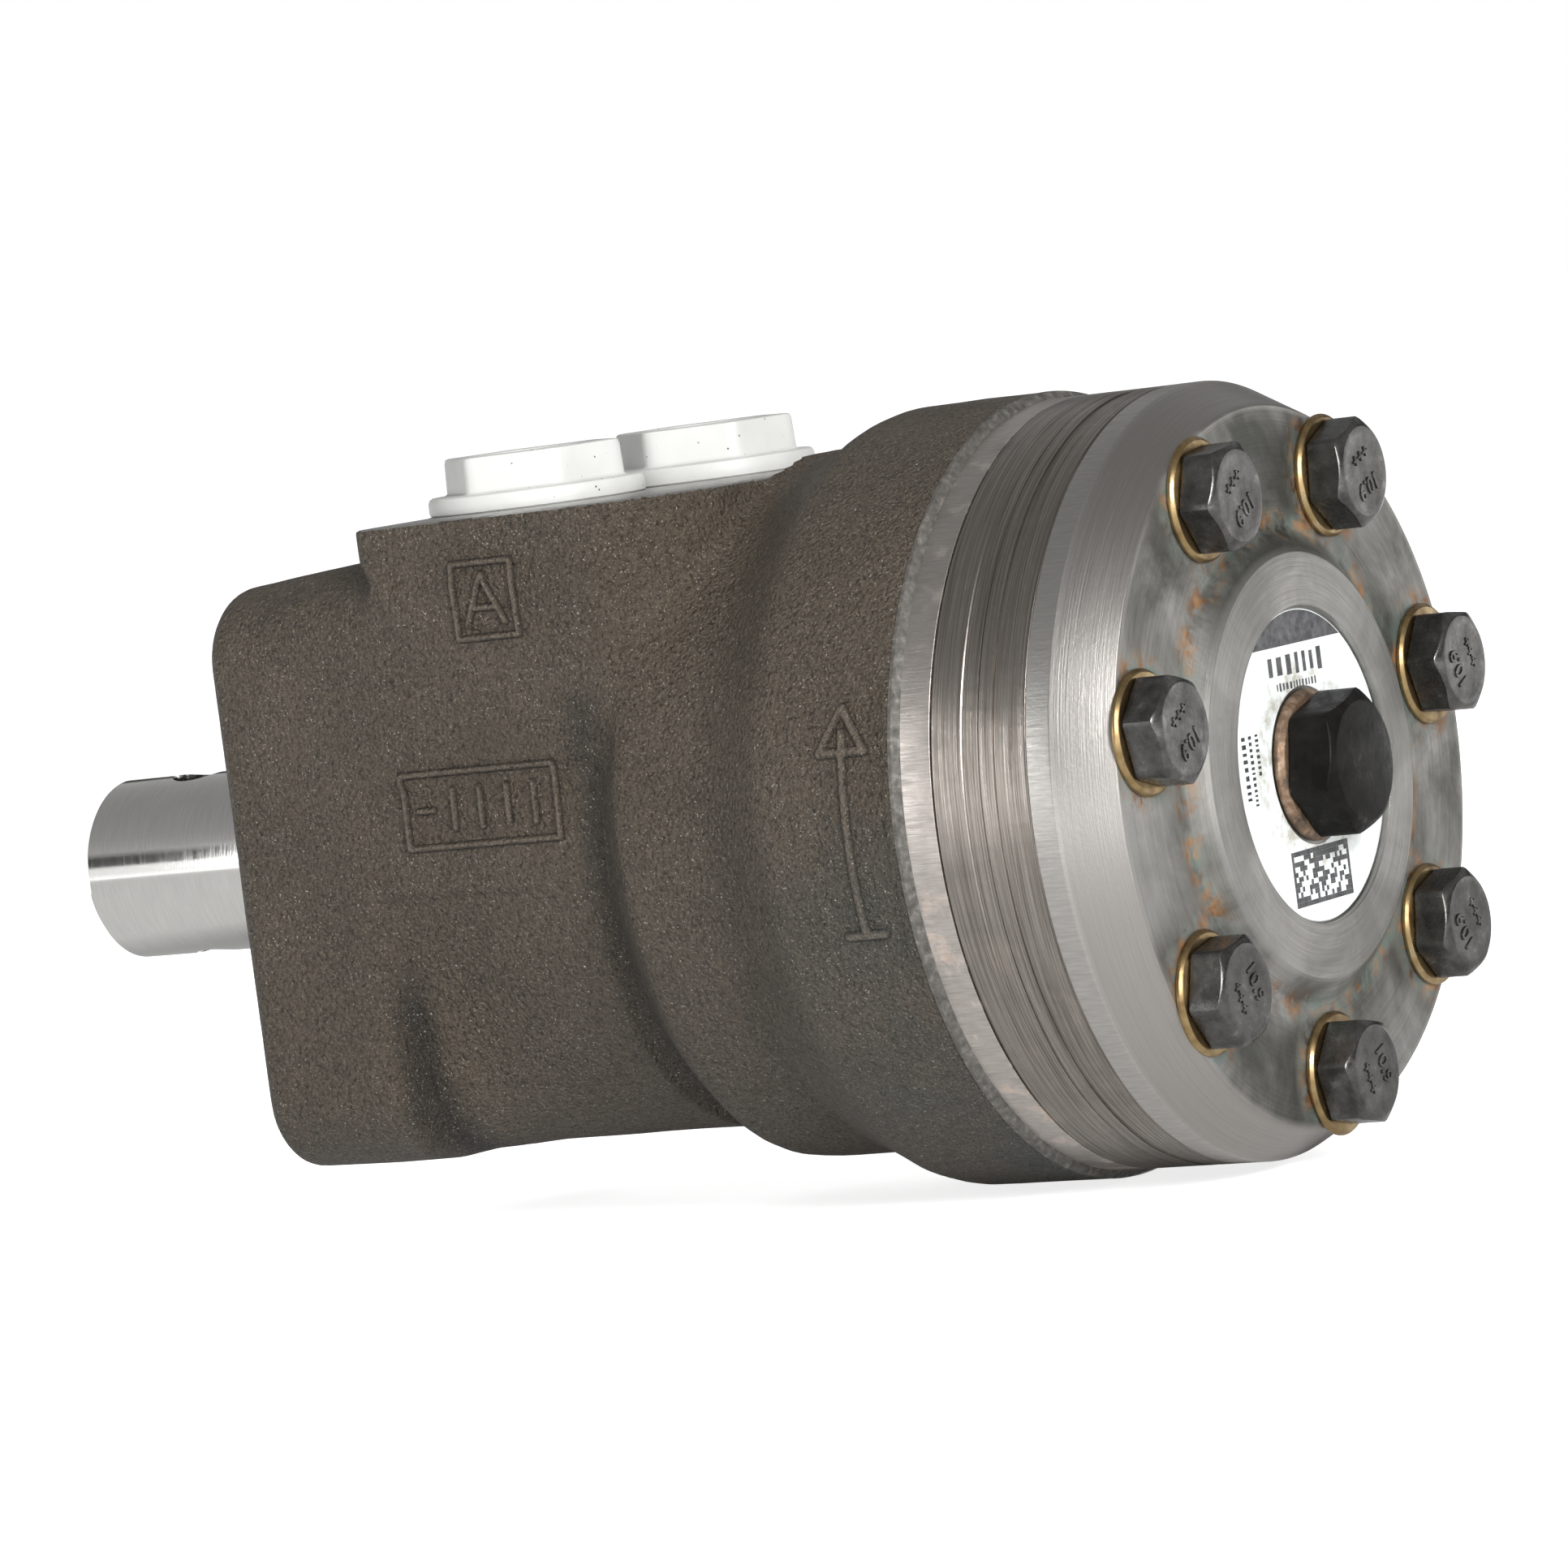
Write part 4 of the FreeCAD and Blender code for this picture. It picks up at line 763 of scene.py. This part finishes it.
def mount_plate():
    """The machined front face of the flange, with its pilot, seal bore and four tapped holes."""
    mesh = bmesh.new()

    def loop(points, x):
        made = [mesh.verts.new((x * MM, py * MM, pz * MM)) for py, pz in points]
        return [mesh.edges.new((a, b)) for a, b in zip(made, made[1:] + made[:1])]

    inset, face_x, pilot_radius, mouth = 2.9, -0.02, 22.2, 4.85
    corner = FLANGE_CORNER - inset
    out, high, low = FLANGE_HALF - inset - corner, FLANGE_TOP - inset - corner, FLANGE_LOW + inset + corner
    outline = []
    for quarter, (cy, cz) in enumerate(((out, high), (-out, high), (-out, low), (out, low))):
        for n in range(9):
            a = radians(90 * quarter + 90 * n / 8)
            outline.append((cy + corner * cos(a), cz + corner * sin(a)))
    edges = loop(outline, face_x)
    circles = [(0.0, 0.0, pilot_radius, 96)] + [(*hole, mouth, 48) for hole in MOUNT_HOLES]
    for cy, cz, radius, count in circles:
        angles = [2 * pi * n / count for n in range(count)]
        edges += loop([(cy + radius * cos(a), cz + radius * sin(a)) for a in angles], face_x)
    bmesh.ops.triangle_fill(mesh, use_beauty=True, edges=edges, normal=(1, 0, 0))
    data = bpy.data.meshes.new("mount_plate")
    mesh.to_mesh(data)
    mesh.free()
    data.materials.append(MACHINED)
    plate = add("mount_plate", data)
    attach(plate, HOUSING)
    parts = [plate]
    edge = [(face_x, pilot_radius), (2.8, pilot_radius, 0.5), (2.8, 18.0, 0.2)]
    pilot = profile(*edge, (-2.2, 18.0), (-2.2, 14.9), (-4.2, 14.9))
    pilot += [(-4.2, 17.6), (-10.4, 17.6), (-10.4, SPOOL_BORE), (-111.2, SPOOL_BORE)]
    parts.append(lathe("pilot_ring", pilot, MACHINED))
    # The thread shows as fine rings inside each hole.
    pitch, crest, root = 0.75, 4.25, 4.55
    thread = [(face_x, mouth), (-0.62, crest)]
    for turn in range(18):
        thread += [(-1.0 - pitch * turn, crest), (-1.35 - pitch * turn, root)]
    thread += [(-15.0, crest), (-17.2, 0.0)]
    for quarter, centre in enumerate(MOUNT_HOLES):
        parts.append(lathe(f"tapped_{quarter}", thread, MACHINED, 48, centre))
    whole = joined("flange_face", parts)
    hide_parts("housing")


def register_band():
    """The machined rear of the housing: rough bevel, then the bright register band."""
    edge = [(-111.3, 51.7), (-111.35, 52.05), (-111.8, 52.0), (-112.1, 51.6), (-112.6, 51.0)]
    bevel = lathe("rear_bevel", edge, BEVEL, ROUND)
    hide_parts("housing")
    points = profile((-112.5, 50.9), (-112.55, 51.0), (-116.9, 51.0, 0.12), (-116.94, 49.0))
    points += [(-116.94, 48.7), (-115.34, 48.7), (-115.34, 46.3), (-116.94, 46.3)]
    points += [(-116.94, SPOOL_BORE), (-111.0, SPOOL_BORE)]
    band = lathe("register_band", points, REGISTER, ROUND)
    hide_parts("housing")


def port_threads():
    """Threaded walls and seats of the two ports, seen only with the plugs out."""
    pitch, crest, root = 1.8, 10.3, 10.75
    outline = [(PORT_FACE, 12.15), (43.0, crest)]
    for turn in range(6):
        outline += [(42.6 - pitch * turn, crest), (41.7 - pitch * turn, root)]
    outline += [(31.5, crest), (31.5, 4.0), (31.0, 4.0)]
    for letter, (px, py) in PORTS.items():
        vertices, faces, count = [], [], 64
        for z, r in outline:
            for n in range(count):
                a = 2 * pi * n / count
                vertices.append((px + r * cos(a), py + r * sin(a), z))
        for ring in range(len(outline) - 1):
            faces += bridge(ring * count, (ring + 1) * count, count)
        wall = piece(f"port_wall_{letter}", vertices, faces, MACHINED)
        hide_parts("housing")


# ---- turned and bolted pieces


def stack_rings():
    rim = [(-117.25, 51.0, 0.1), (-121.45, 51.0, 0.1)]
    plate = profile((-116.95, 12.5), (-116.95, 50.7), *rim, (-121.73, 50.75), (-121.73, 12.5))
    obj = lathe("spacer_disc", plate, RING, ROUND)
    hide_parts("spacer_plate")
    # The gear ring keeps its lobed inside; dark tool grooves are cut round its rim.
    ring = add("gear_ring_turned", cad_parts["gear_ring"].data.copy())
    ring.data.materials.clear()
    ring.data.materials.append(RING)
    grooves = [(-121.6, -121.82, 50.75), (-124.0, -124.2, 50.88)]
    grooves += [(-126.1, -127.2, 50.78), (-130.66, -130.9, 50.75)]
    for start, end, floor in grooves:
        groove = [(start, 52.0), (start, 50.98), (start - 0.06, floor)]
        groove += [(end + 0.06, floor), (end, 50.98), (end, 52.0)]
        cut(ring, lathe("ring_groove", groove, RING, ROUND, closed=True))
    shade(ring.data, 24)
    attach(ring, HOUSING)
    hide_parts("gear_ring")


def end_cover():
    rim = [(-130.76, 5.9), (-130.76, 50.7), (-131.05, 51.0, 0.1), (-134.3, 51.0, 0.5), (-141.7, 47.1, 0.35)]
    boss = [(-141.7, 31.0, 1.6), (-144.26, 27.7, 0.45), (-144.56, 20.72, 0.12), (-143.6, 20.6, 0.1), (-143.6, 5.9)]
    cover = lathe("end_cover_disc", profile(*rim, *boss), COVER, ROUND)
    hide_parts("end_cover")


def hex_head(name, flats, seat, face, face_radius, turn, centre, material, round_edge, dish=0.0):
    """Hexagonal head pointing along -X, with coned corners; dish sinks the middle of the face."""
    count, tall, half, thirty = 96, seat - face, flats / 2, radians(30)
    soft = half / cos(thirty) - round_edge
    vertices, faces, rings = [], [], []

    def ring(height_of, radius_of):
        rings.append(len(vertices))
        for n in range(count):
            a = 2 * pi * n / count
            local = (degrees(a) + 30) % 60 - 30
            edge = half / cos(radians(local))
            edge = min(edge, soft + (edge - soft) * 0.35)
            r = radius_of(edge)
            b = a + radians(turn)
            vertices.append((seat - height_of(edge), centre[0] + r * cos(b), centre[1] + r * sin(b)))

    def chamfer(edge):
        return tall - max(0.0, edge - face_radius) * tan(thirty)

    ring(lambda e: 0.0, lambda e: e - 0.25)
    ring(lambda e: 0.25, lambda e: e)
    ring(lambda e: chamfer(e) - 0.12, lambda e: e)
    ring(lambda e: chamfer(e) + 0.02, lambda e: e - 0.1)
    ring(lambda e: tall - 0.05, lambda e: face_radius + 0.12)
    ring(lambda e: tall, lambda e: face_radius - 0.1)
    if dish:
        ring(lambda e: tall - dish, lambda e: face_radius - 1.0)
    for low, high in zip(rings, rings[1:]):
        faces += bridge(low, high, count)
    faces += fan(rings[-1], len(vertices), count)
    vertices.append((seat - tall + dish, *centre))
    return piece(name, vertices, faces, material, smooth=24)


def raised_text(name, text, size, depth, x, centre, turn, material):
    """Low raised marking on a face that looks along -X."""
    curve = bpy.data.curves.new(name, "FONT")
    curve.body = text
    curve.size = size * MM
    curve.extrude = depth * MM
    curve.bevel_depth = 0.05 * MM
    curve.align_x = "CENTER"
    curve.align_y = "CENTER"
    made = add(name, curve)
    # Text lies in its own XY plane; turn it to face -X with its top towards +Z, then round the bolt.
    stand = Matrix(((0, 0, -1), (-1, 0, 0), (0, 1, 0))).to_4x4()
    spin = Matrix.Rotation(radians(turn), 4, "X")
    made.matrix_world = Matrix.Translation(Vector((x, *centre)) * MM) @ spin @ stand
    bpy.context.view_layer.update()
    mesh = bpy.data.meshes.new_from_object(made)
    mesh.transform(made.matrix_world)
    bpy.data.objects.remove(made)
    mesh.materials.clear()
    mesh.materials.append(material)
    obj = add(name, mesh)
    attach(obj, HOUSING)
    return obj


def bolts():
    heads, washers = [], []
    for index, (turn, centre) in enumerate(zip(BOLT_TURNS, COVER_BOLTS)):
        heads.append(hex_head(f"bolt_{index}", 13.0, -142.8, -147.93, 5.95, turn, centre, BLACK, 0.3, 0.12))
        shank = profile((-142.8, 3.97), (-101.4, 3.97), (-101.0, 3.5), (-101.0, 0.0))
        heads.append(lathe(f"shank_{index}", shank, BLACK, 32, centre))
        spin = turn * 1.7 + 37 * index
        # A strength class above the middle of the face and a row of signs below it.
        for name, text, size, rise in (("mark", "10.9", 3.3, 2.1), ("dash", "+++", 2.6, -2.3)):
            mark = Vector(centre) + Matrix.Rotation(radians(spin), 2) @ Vector((0, rise))
            heads.append(raised_text(f"{name}_{index}", text, size, 0.12, -147.83, mark, spin, BLACK))
        rim = [(-141.72, 8.1, 0.3), (-142.25, 8.15, 0.35), (-142.78, 7.7, 0.3)]
        ring = profile((-141.72, 4.3), *rim, (-142.8, 4.3))
        washers.append(lathe(f"washer_{index}", ring, WASHER, 72, centre, smooth=50))
    whole = joined("bolt_heads", heads)
    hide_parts("cover_bolts")
    whole = joined("washer_set", washers)
    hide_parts("bolt_washers")


def drain_plug():
    head = hex_head("drain_head", 17.0, -145.1, -151.79, 7.75, 14.0, (0.0, 0.0), PLUG_BLACK, 0.35)
    shank = [(-145.1, 5.85), (-133.0, 5.85), (-132.5, 5.4), (-132.5, 0.0)]
    whole = joined("drain_plug_head", [head, lathe("drain_shank", shank, PLUG_BLACK, 48)])
    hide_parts("drain_plug")
    ring = profile((-143.62, 6.0), (-143.62, 9.9, 0.3), (-144.3, 9.9, 0.35), (-145.08, 9.2, 0.3), (-145.1, 6.0))
    washer = lathe("drain_ring", ring, DIRTY, 96, smooth=50)
    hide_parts("drain_plug_washer")


def cover_label():
    """Round white label with generic printing: a band, lines like text, and a block of dots."""
    edge = [(-143.61, 10.3), (-143.74, 10.35), (-143.74, 20.3), (-143.61, 20.4)]
    disc = lathe("label_disc", edge, PAPER, 128)
    vertices, faces = [], []

    def flat(points):
        start = len(vertices)
        vertices.extend((-143.75, py, pz) for py, pz in points)
        faces.append(tuple(range(start, start + len(points))))

    def bar(centre, length, height, angle):
        c, s = cos(radians(angle)), sin(radians(angle))
        corners = ((-length, -height), (length, -height), (length, height), (-length, height))
        flat([(centre[0] + (u * c - v * s) / 2, centre[1] + (u * s + v * c) / 2) for u, v in corners])

    def word(start, letters, height, angle):
        """A row of upright dashes that reads as small print from a distance."""
        c, s = cos(radians(angle)), sin(radians(angle))
        along = 0.0
        for _ in range(letters):
            wide = height * random.uniform(0.35, 0.7)
            place = along + wide / 2
            bar((start[0] + place * c, start[1] + place * s), wide * 0.8, height * random.uniform(0.75, 1.0), angle)
            along += wide + 0.28 * height

    # Seen from behind, +Y is on the left, so print runs towards -Y.
    cap = [radians(90 + angle) for angle in range(-38, 39, 4)]
    flat([(-20.2 * cos(angle), 20.2 * sin(angle)) for angle in cap])
    word((8.2, 13.4), 7, 3.1, 180)
    word((6.4, 10.7), 13, 1.1, 180)
    for row, (count, tall) in enumerate(((9, 1.2), (13, 0.9), (8, 0.9))):
        word((17.2 - 1.8 * row, 5.6), count, tall, 270)
    word((-12.2, 4.5), 8, 0.9, 270)
    pitch, rows, columns = 0.66, 11, 24
    for row in range(rows):
        for column in range(columns):
            if row in (0, rows - 1) or column in (0, columns - 1) or random.random() < 0.52:
                bar((7.9 - pitch * column, -10.9 - pitch * row), pitch * 0.98, pitch * 0.98, 0)
    ink = piece("label_print", vertices, faces, INK)
    for obj in (disc, ink):
        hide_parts("cover_label")


def output_shaft():
    """The visible end is turned afresh; a cross hole goes through it."""
    end = [(46.3, 0.0), (46.3, 11.5, 0.15), (45.1, 12.7, 0.3), (4.4, 12.7), (4.4, 13.6), (3.6, 14.28, 0.2)]
    spool = [(-16.4, 14.28), (-16.4, 19.0, 0.2)]
    for front, rear in ((-36.0, -43.0), (-70.0, -77.0)):
        spool += [(front, 19.0), (front, 16.5), (rear, 16.5), (rear, 19.0)]
    inside = [(-116.7, 19.0), (-116.7, 12.5), (-56.5, 12.5), (-56.5, 10.75), (-42.0, 10.75), (-42.0, 0.0)]
    shaft = lathe("shaft_turned", profile(*end, *spool, *inside), SHAFT, 192, body="shaft")
    cutter = bmesh.new()
    bmesh.ops.create_cone(cutter, cap_ends=True, segments=64, radius1=4.0 * MM, radius2=4.0 * MM, depth=30 * MM)
    bmesh.ops.translate(cutter, verts=cutter.verts, vec=(32.6 * MM, 0, 0))
    sizes = {"radius1": 0.2 * MM, "radius2": 3.4 * MM, "depth": 3.4 * MM}
    centre = bmesh.ops.create_cone(cutter, cap_ends=True, segments=48, **sizes)["verts"]
    bmesh.ops.rotate(cutter, verts=centre, cent=(0, 0, 0), matrix=Matrix.Rotation(pi / 2, 3, "Y"))
    bmesh.ops.translate(cutter, verts=centre, vec=(44.9 * MM, 0, 0))
    tool = bpy.data.meshes.new("shaft_cutter")
    cutter.to_mesh(tool)
    cutter.free()
    cut(shaft, add("shaft_cutter", tool))
    shade(shaft.data, 28)
    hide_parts("output_shaft")


def seals():
    lip = [(1.4, 17.98, 0.4), (1.5, 16.0, 0.3), (2.6, 15.0, 0.2), (2.55, 14.36)]
    ring = profile((-2.2, 14.4), (-2.2, 17.98), *lip, (-2.2, 14.36))
    obj = lathe("wiper_seal", ring, RUBBER, 128, smooth=40)
    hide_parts("dust_seal")


def port_plug(letter, px, py, azimuth):
    """White screw plug: round flange, hexagonal head with soft edges, hollow inside."""
    count, flat = 96, 11.0
    vertices, faces, rings = [], [], []

    def ring(z, radius_of):
        rings.append(len(vertices))
        for n in range(count):
            a = 2 * pi * n / count
            local = (degrees(a) - azimuth + 30) % 60 - 30
            r = radius_of(flat / cos(radians(local)))
            vertices.append((px + r * cos(a), py + r * sin(a), z))

    def soft(edge):
        start = flat / cos(radians(30)) - 0.35
        return edge if edge < start else start + (edge - start) * 0.3

    def round_rings(*sizes):
        for z, r in sizes:
            ring(z, lambda edge: r)

    round_rings((34.5, 8.0), (34.5, 9.8), (35.0, 10.2), (45.5, 10.2), (45.5, 14.4), (45.72, 14.68))
    round_rings((46.2, 14.75), (47.3, 14.7), (47.8, 14.5), (48.0, 14.1))
    for z, grow in ((48.05, 0.35), (48.3, 0.05), (52.3, -0.1), (52.85, -0.28), (53.0, -0.7)):
        ring(z, lambda edge: soft(edge) + grow)
    round_rings((53.0, 8.85), (52.85, 8.55), (52.4, 8.4), (37.4, 8.2), (37.0, 7.8))
    for low, high in zip(rings, rings[1:]):
        faces += bridge(low, high, count)
    for end, z in ((rings[-1], 37.0), (rings[0], 34.5)):
        faces += fan(end, len(vertices), count)
        vertices.append((px, py, z))
    obj = piece(f"screw_plug_{letter}", vertices, faces, PLUG, smooth=28)
    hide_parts(f"port_plug_{letter}")


casting()
mount_plate()
register_band()
port_threads()
stack_rings()
end_cover()
bolts()
drain_plug()
cover_label()
output_shaft()
seals()
port_plug("a", *PORTS["a"], 107.5)
port_plug("b", *PORTS["b"], 111.7)

# CAD pieces that stay get procedural materials.
KEPT = {
    INNER: ["rotor", "drive_link", "drive_spacer", "thrust_cage", "thrust_needles"],
    RUBBER: ["shaft_seal", "housing_seal", "plate_seal", "cover_seal", "port_seal_a", "port_seal_b"],
    BACKUP: ["seal_backup_ring"],
}
KEPT[INNER] += ["thrust_washer_front", "thrust_washer_rear"]
KEPT[INNER] += [f"check_{part}_{letter}" for part in ("ball", "retainer") for letter in PORTS]
KEPT[INNER] += [f"roller_{number}" for number in range(1, 8)]
for material, nodes in KEPT.items():
    for node in nodes:
        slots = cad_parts[node].data.materials
        slots.clear()
        slots.append(material)

# ---- floor, light, camera


def plain(name, level, roughness):
    s = Shader(name, specular=0.2)
    s.colour(s.ramp(s.noise(3.0, 2, 0.5), (0.0, (level,) * 3), (1.0, (level * 1.01,) * 3)))
    s.rough(roughness)
    return s


def sheet(name, x_range, y_range, z, material):
    """A flat rectangle that belongs to the stage, in metres."""
    mesh = bpy.data.meshes.new(name)
    (x0, x1), (y0, y1) = x_range, y_range
    mesh.from_pydata([(x0, y0, z), (x1, y0, z), (x1, y1, z), (x0, y1, z)], [], [(0, 1, 2, 3)])
    mesh.materials.append(material)
    obj = add(name, mesh)
    return obj


def area(name, place, target, size, power):
    data = bpy.data.lights.new(name, "AREA")
    data.shape = "RECTANGLE"
    data.size, data.size_y = size
    data.energy = power
    lamp = add(name, data)
    lamp.location = place
    lamp.rotation_euler = (Vector(target) - Vector(place)).to_track_quat("-Z", "Y").to_euler()
    return lamp


# The floor is a faintly glowing light table, so it stays pale under the motor too.
FLOOR_LEVEL = cad_box[0][2]
pale = plain("pale_floor", 0.8, 0.8)
pale.put(pale.out.inputs["Emission Color"], (1, 1, 1))
pale.put(pale.out.inputs["Emission Strength"], 0.72)
sheet("floor_plane", (-14.0, 14.0), (-14.0, 14.0), FLOOR_LEVEL, pale.mat)
# A grey card just above the floor, seen only in reflections, keeps the underside of the bare steel
# from blowing out.
grey = plain("card_grey", 0.52, 0.9)
card = sheet("reflection_card", (-0.6, 0.45), (-0.5, 0.5), FLOOR_LEVEL + 0.0005, grey.mat)
card.visible_camera = card.visible_diffuse = card.visible_shadow = False

centre = (-0.06, 0, 0)
# One very soft overhead light keeps the floor white; it is left out of reflections.
overhead = add("overhead", bpy.data.lights.new("overhead", "SUN"))
overhead.data.energy = 0.85
overhead.data.angle = radians(100)
overhead.rotation_euler = (radians(-14), radians(-8), 0)
overhead.visible_glossy = False
area("panel_left", (0.6, 0.95, 0.22), centre, (0.22, 0.45), 1.5)
area("panel_right", (-1.0, 0.66, 0.42), centre, (0.36, 0.4), 9.0)
# Three more panels give soft light without showing in the metal.
soft = (
    ("soft_right", (-0.97, 0.68, 0.52), (0.42, 0.42), 17.0),
    ("soft_low", (-0.55, 1.0, 0.03), (0.7, 0.14), 10.0),
    ("soft_back", (-0.25, -1.1, 0.55), (0.5, 0.5), 6.0),
)
for name, place, size, power in soft:
    panel = area(name, place, centre, size, power)
    panel.visible_glossy = panel.visible_camera = False


world = bpy.data.worlds.new("studio")
bpy.context.scene.world = world
world.use_nodes = True
sky = world.node_tree
background = sky.nodes["Background"]
height = sky.nodes.new("ShaderNodeSeparateXYZ")
sky.links.new(sky.nodes.new("ShaderNodeTexCoord").outputs["Generated"], height.inputs["Vector"])
# The room: white at the horizon, dark above it, a soft pale zone higher up, dim overhead.
room = sky.nodes.new("ShaderNodeValToRGB")
sky.links.new(height.outputs["Z"], room.inputs["Fac"])
levels = ((0.0, 1.0), (0.11, 1.0), (0.14, 0.03), (0.27, 0.04), (0.36, 0.42), (0.55, 0.34), (1.0, 0.25))
fill_ramp(room.color_ramp, [(position, (level,) * 3) for position, level in levels])
sky.links.new(room.outputs["Color"], background.inputs["Color"])

camera_data = bpy.data.cameras.new("camera")
camera_data.lens = 177.11
camera_data.sensor_width = 36.0
camera_data.clip_start = 0.05
camera_data.clip_end = 10.0
camera = add("camera", camera_data)
camera.location = (-0.614268, 0.882006, 0.070765)
camera.rotation_euler = [radians(angle) for angle in (86.276324, 7.470414, -148.510133)]
bpy.context.scene.camera = camera
bpy.context.scene.view_settings.view_transform = "Standard"
bpy.context.scene.view_settings.look = "None"
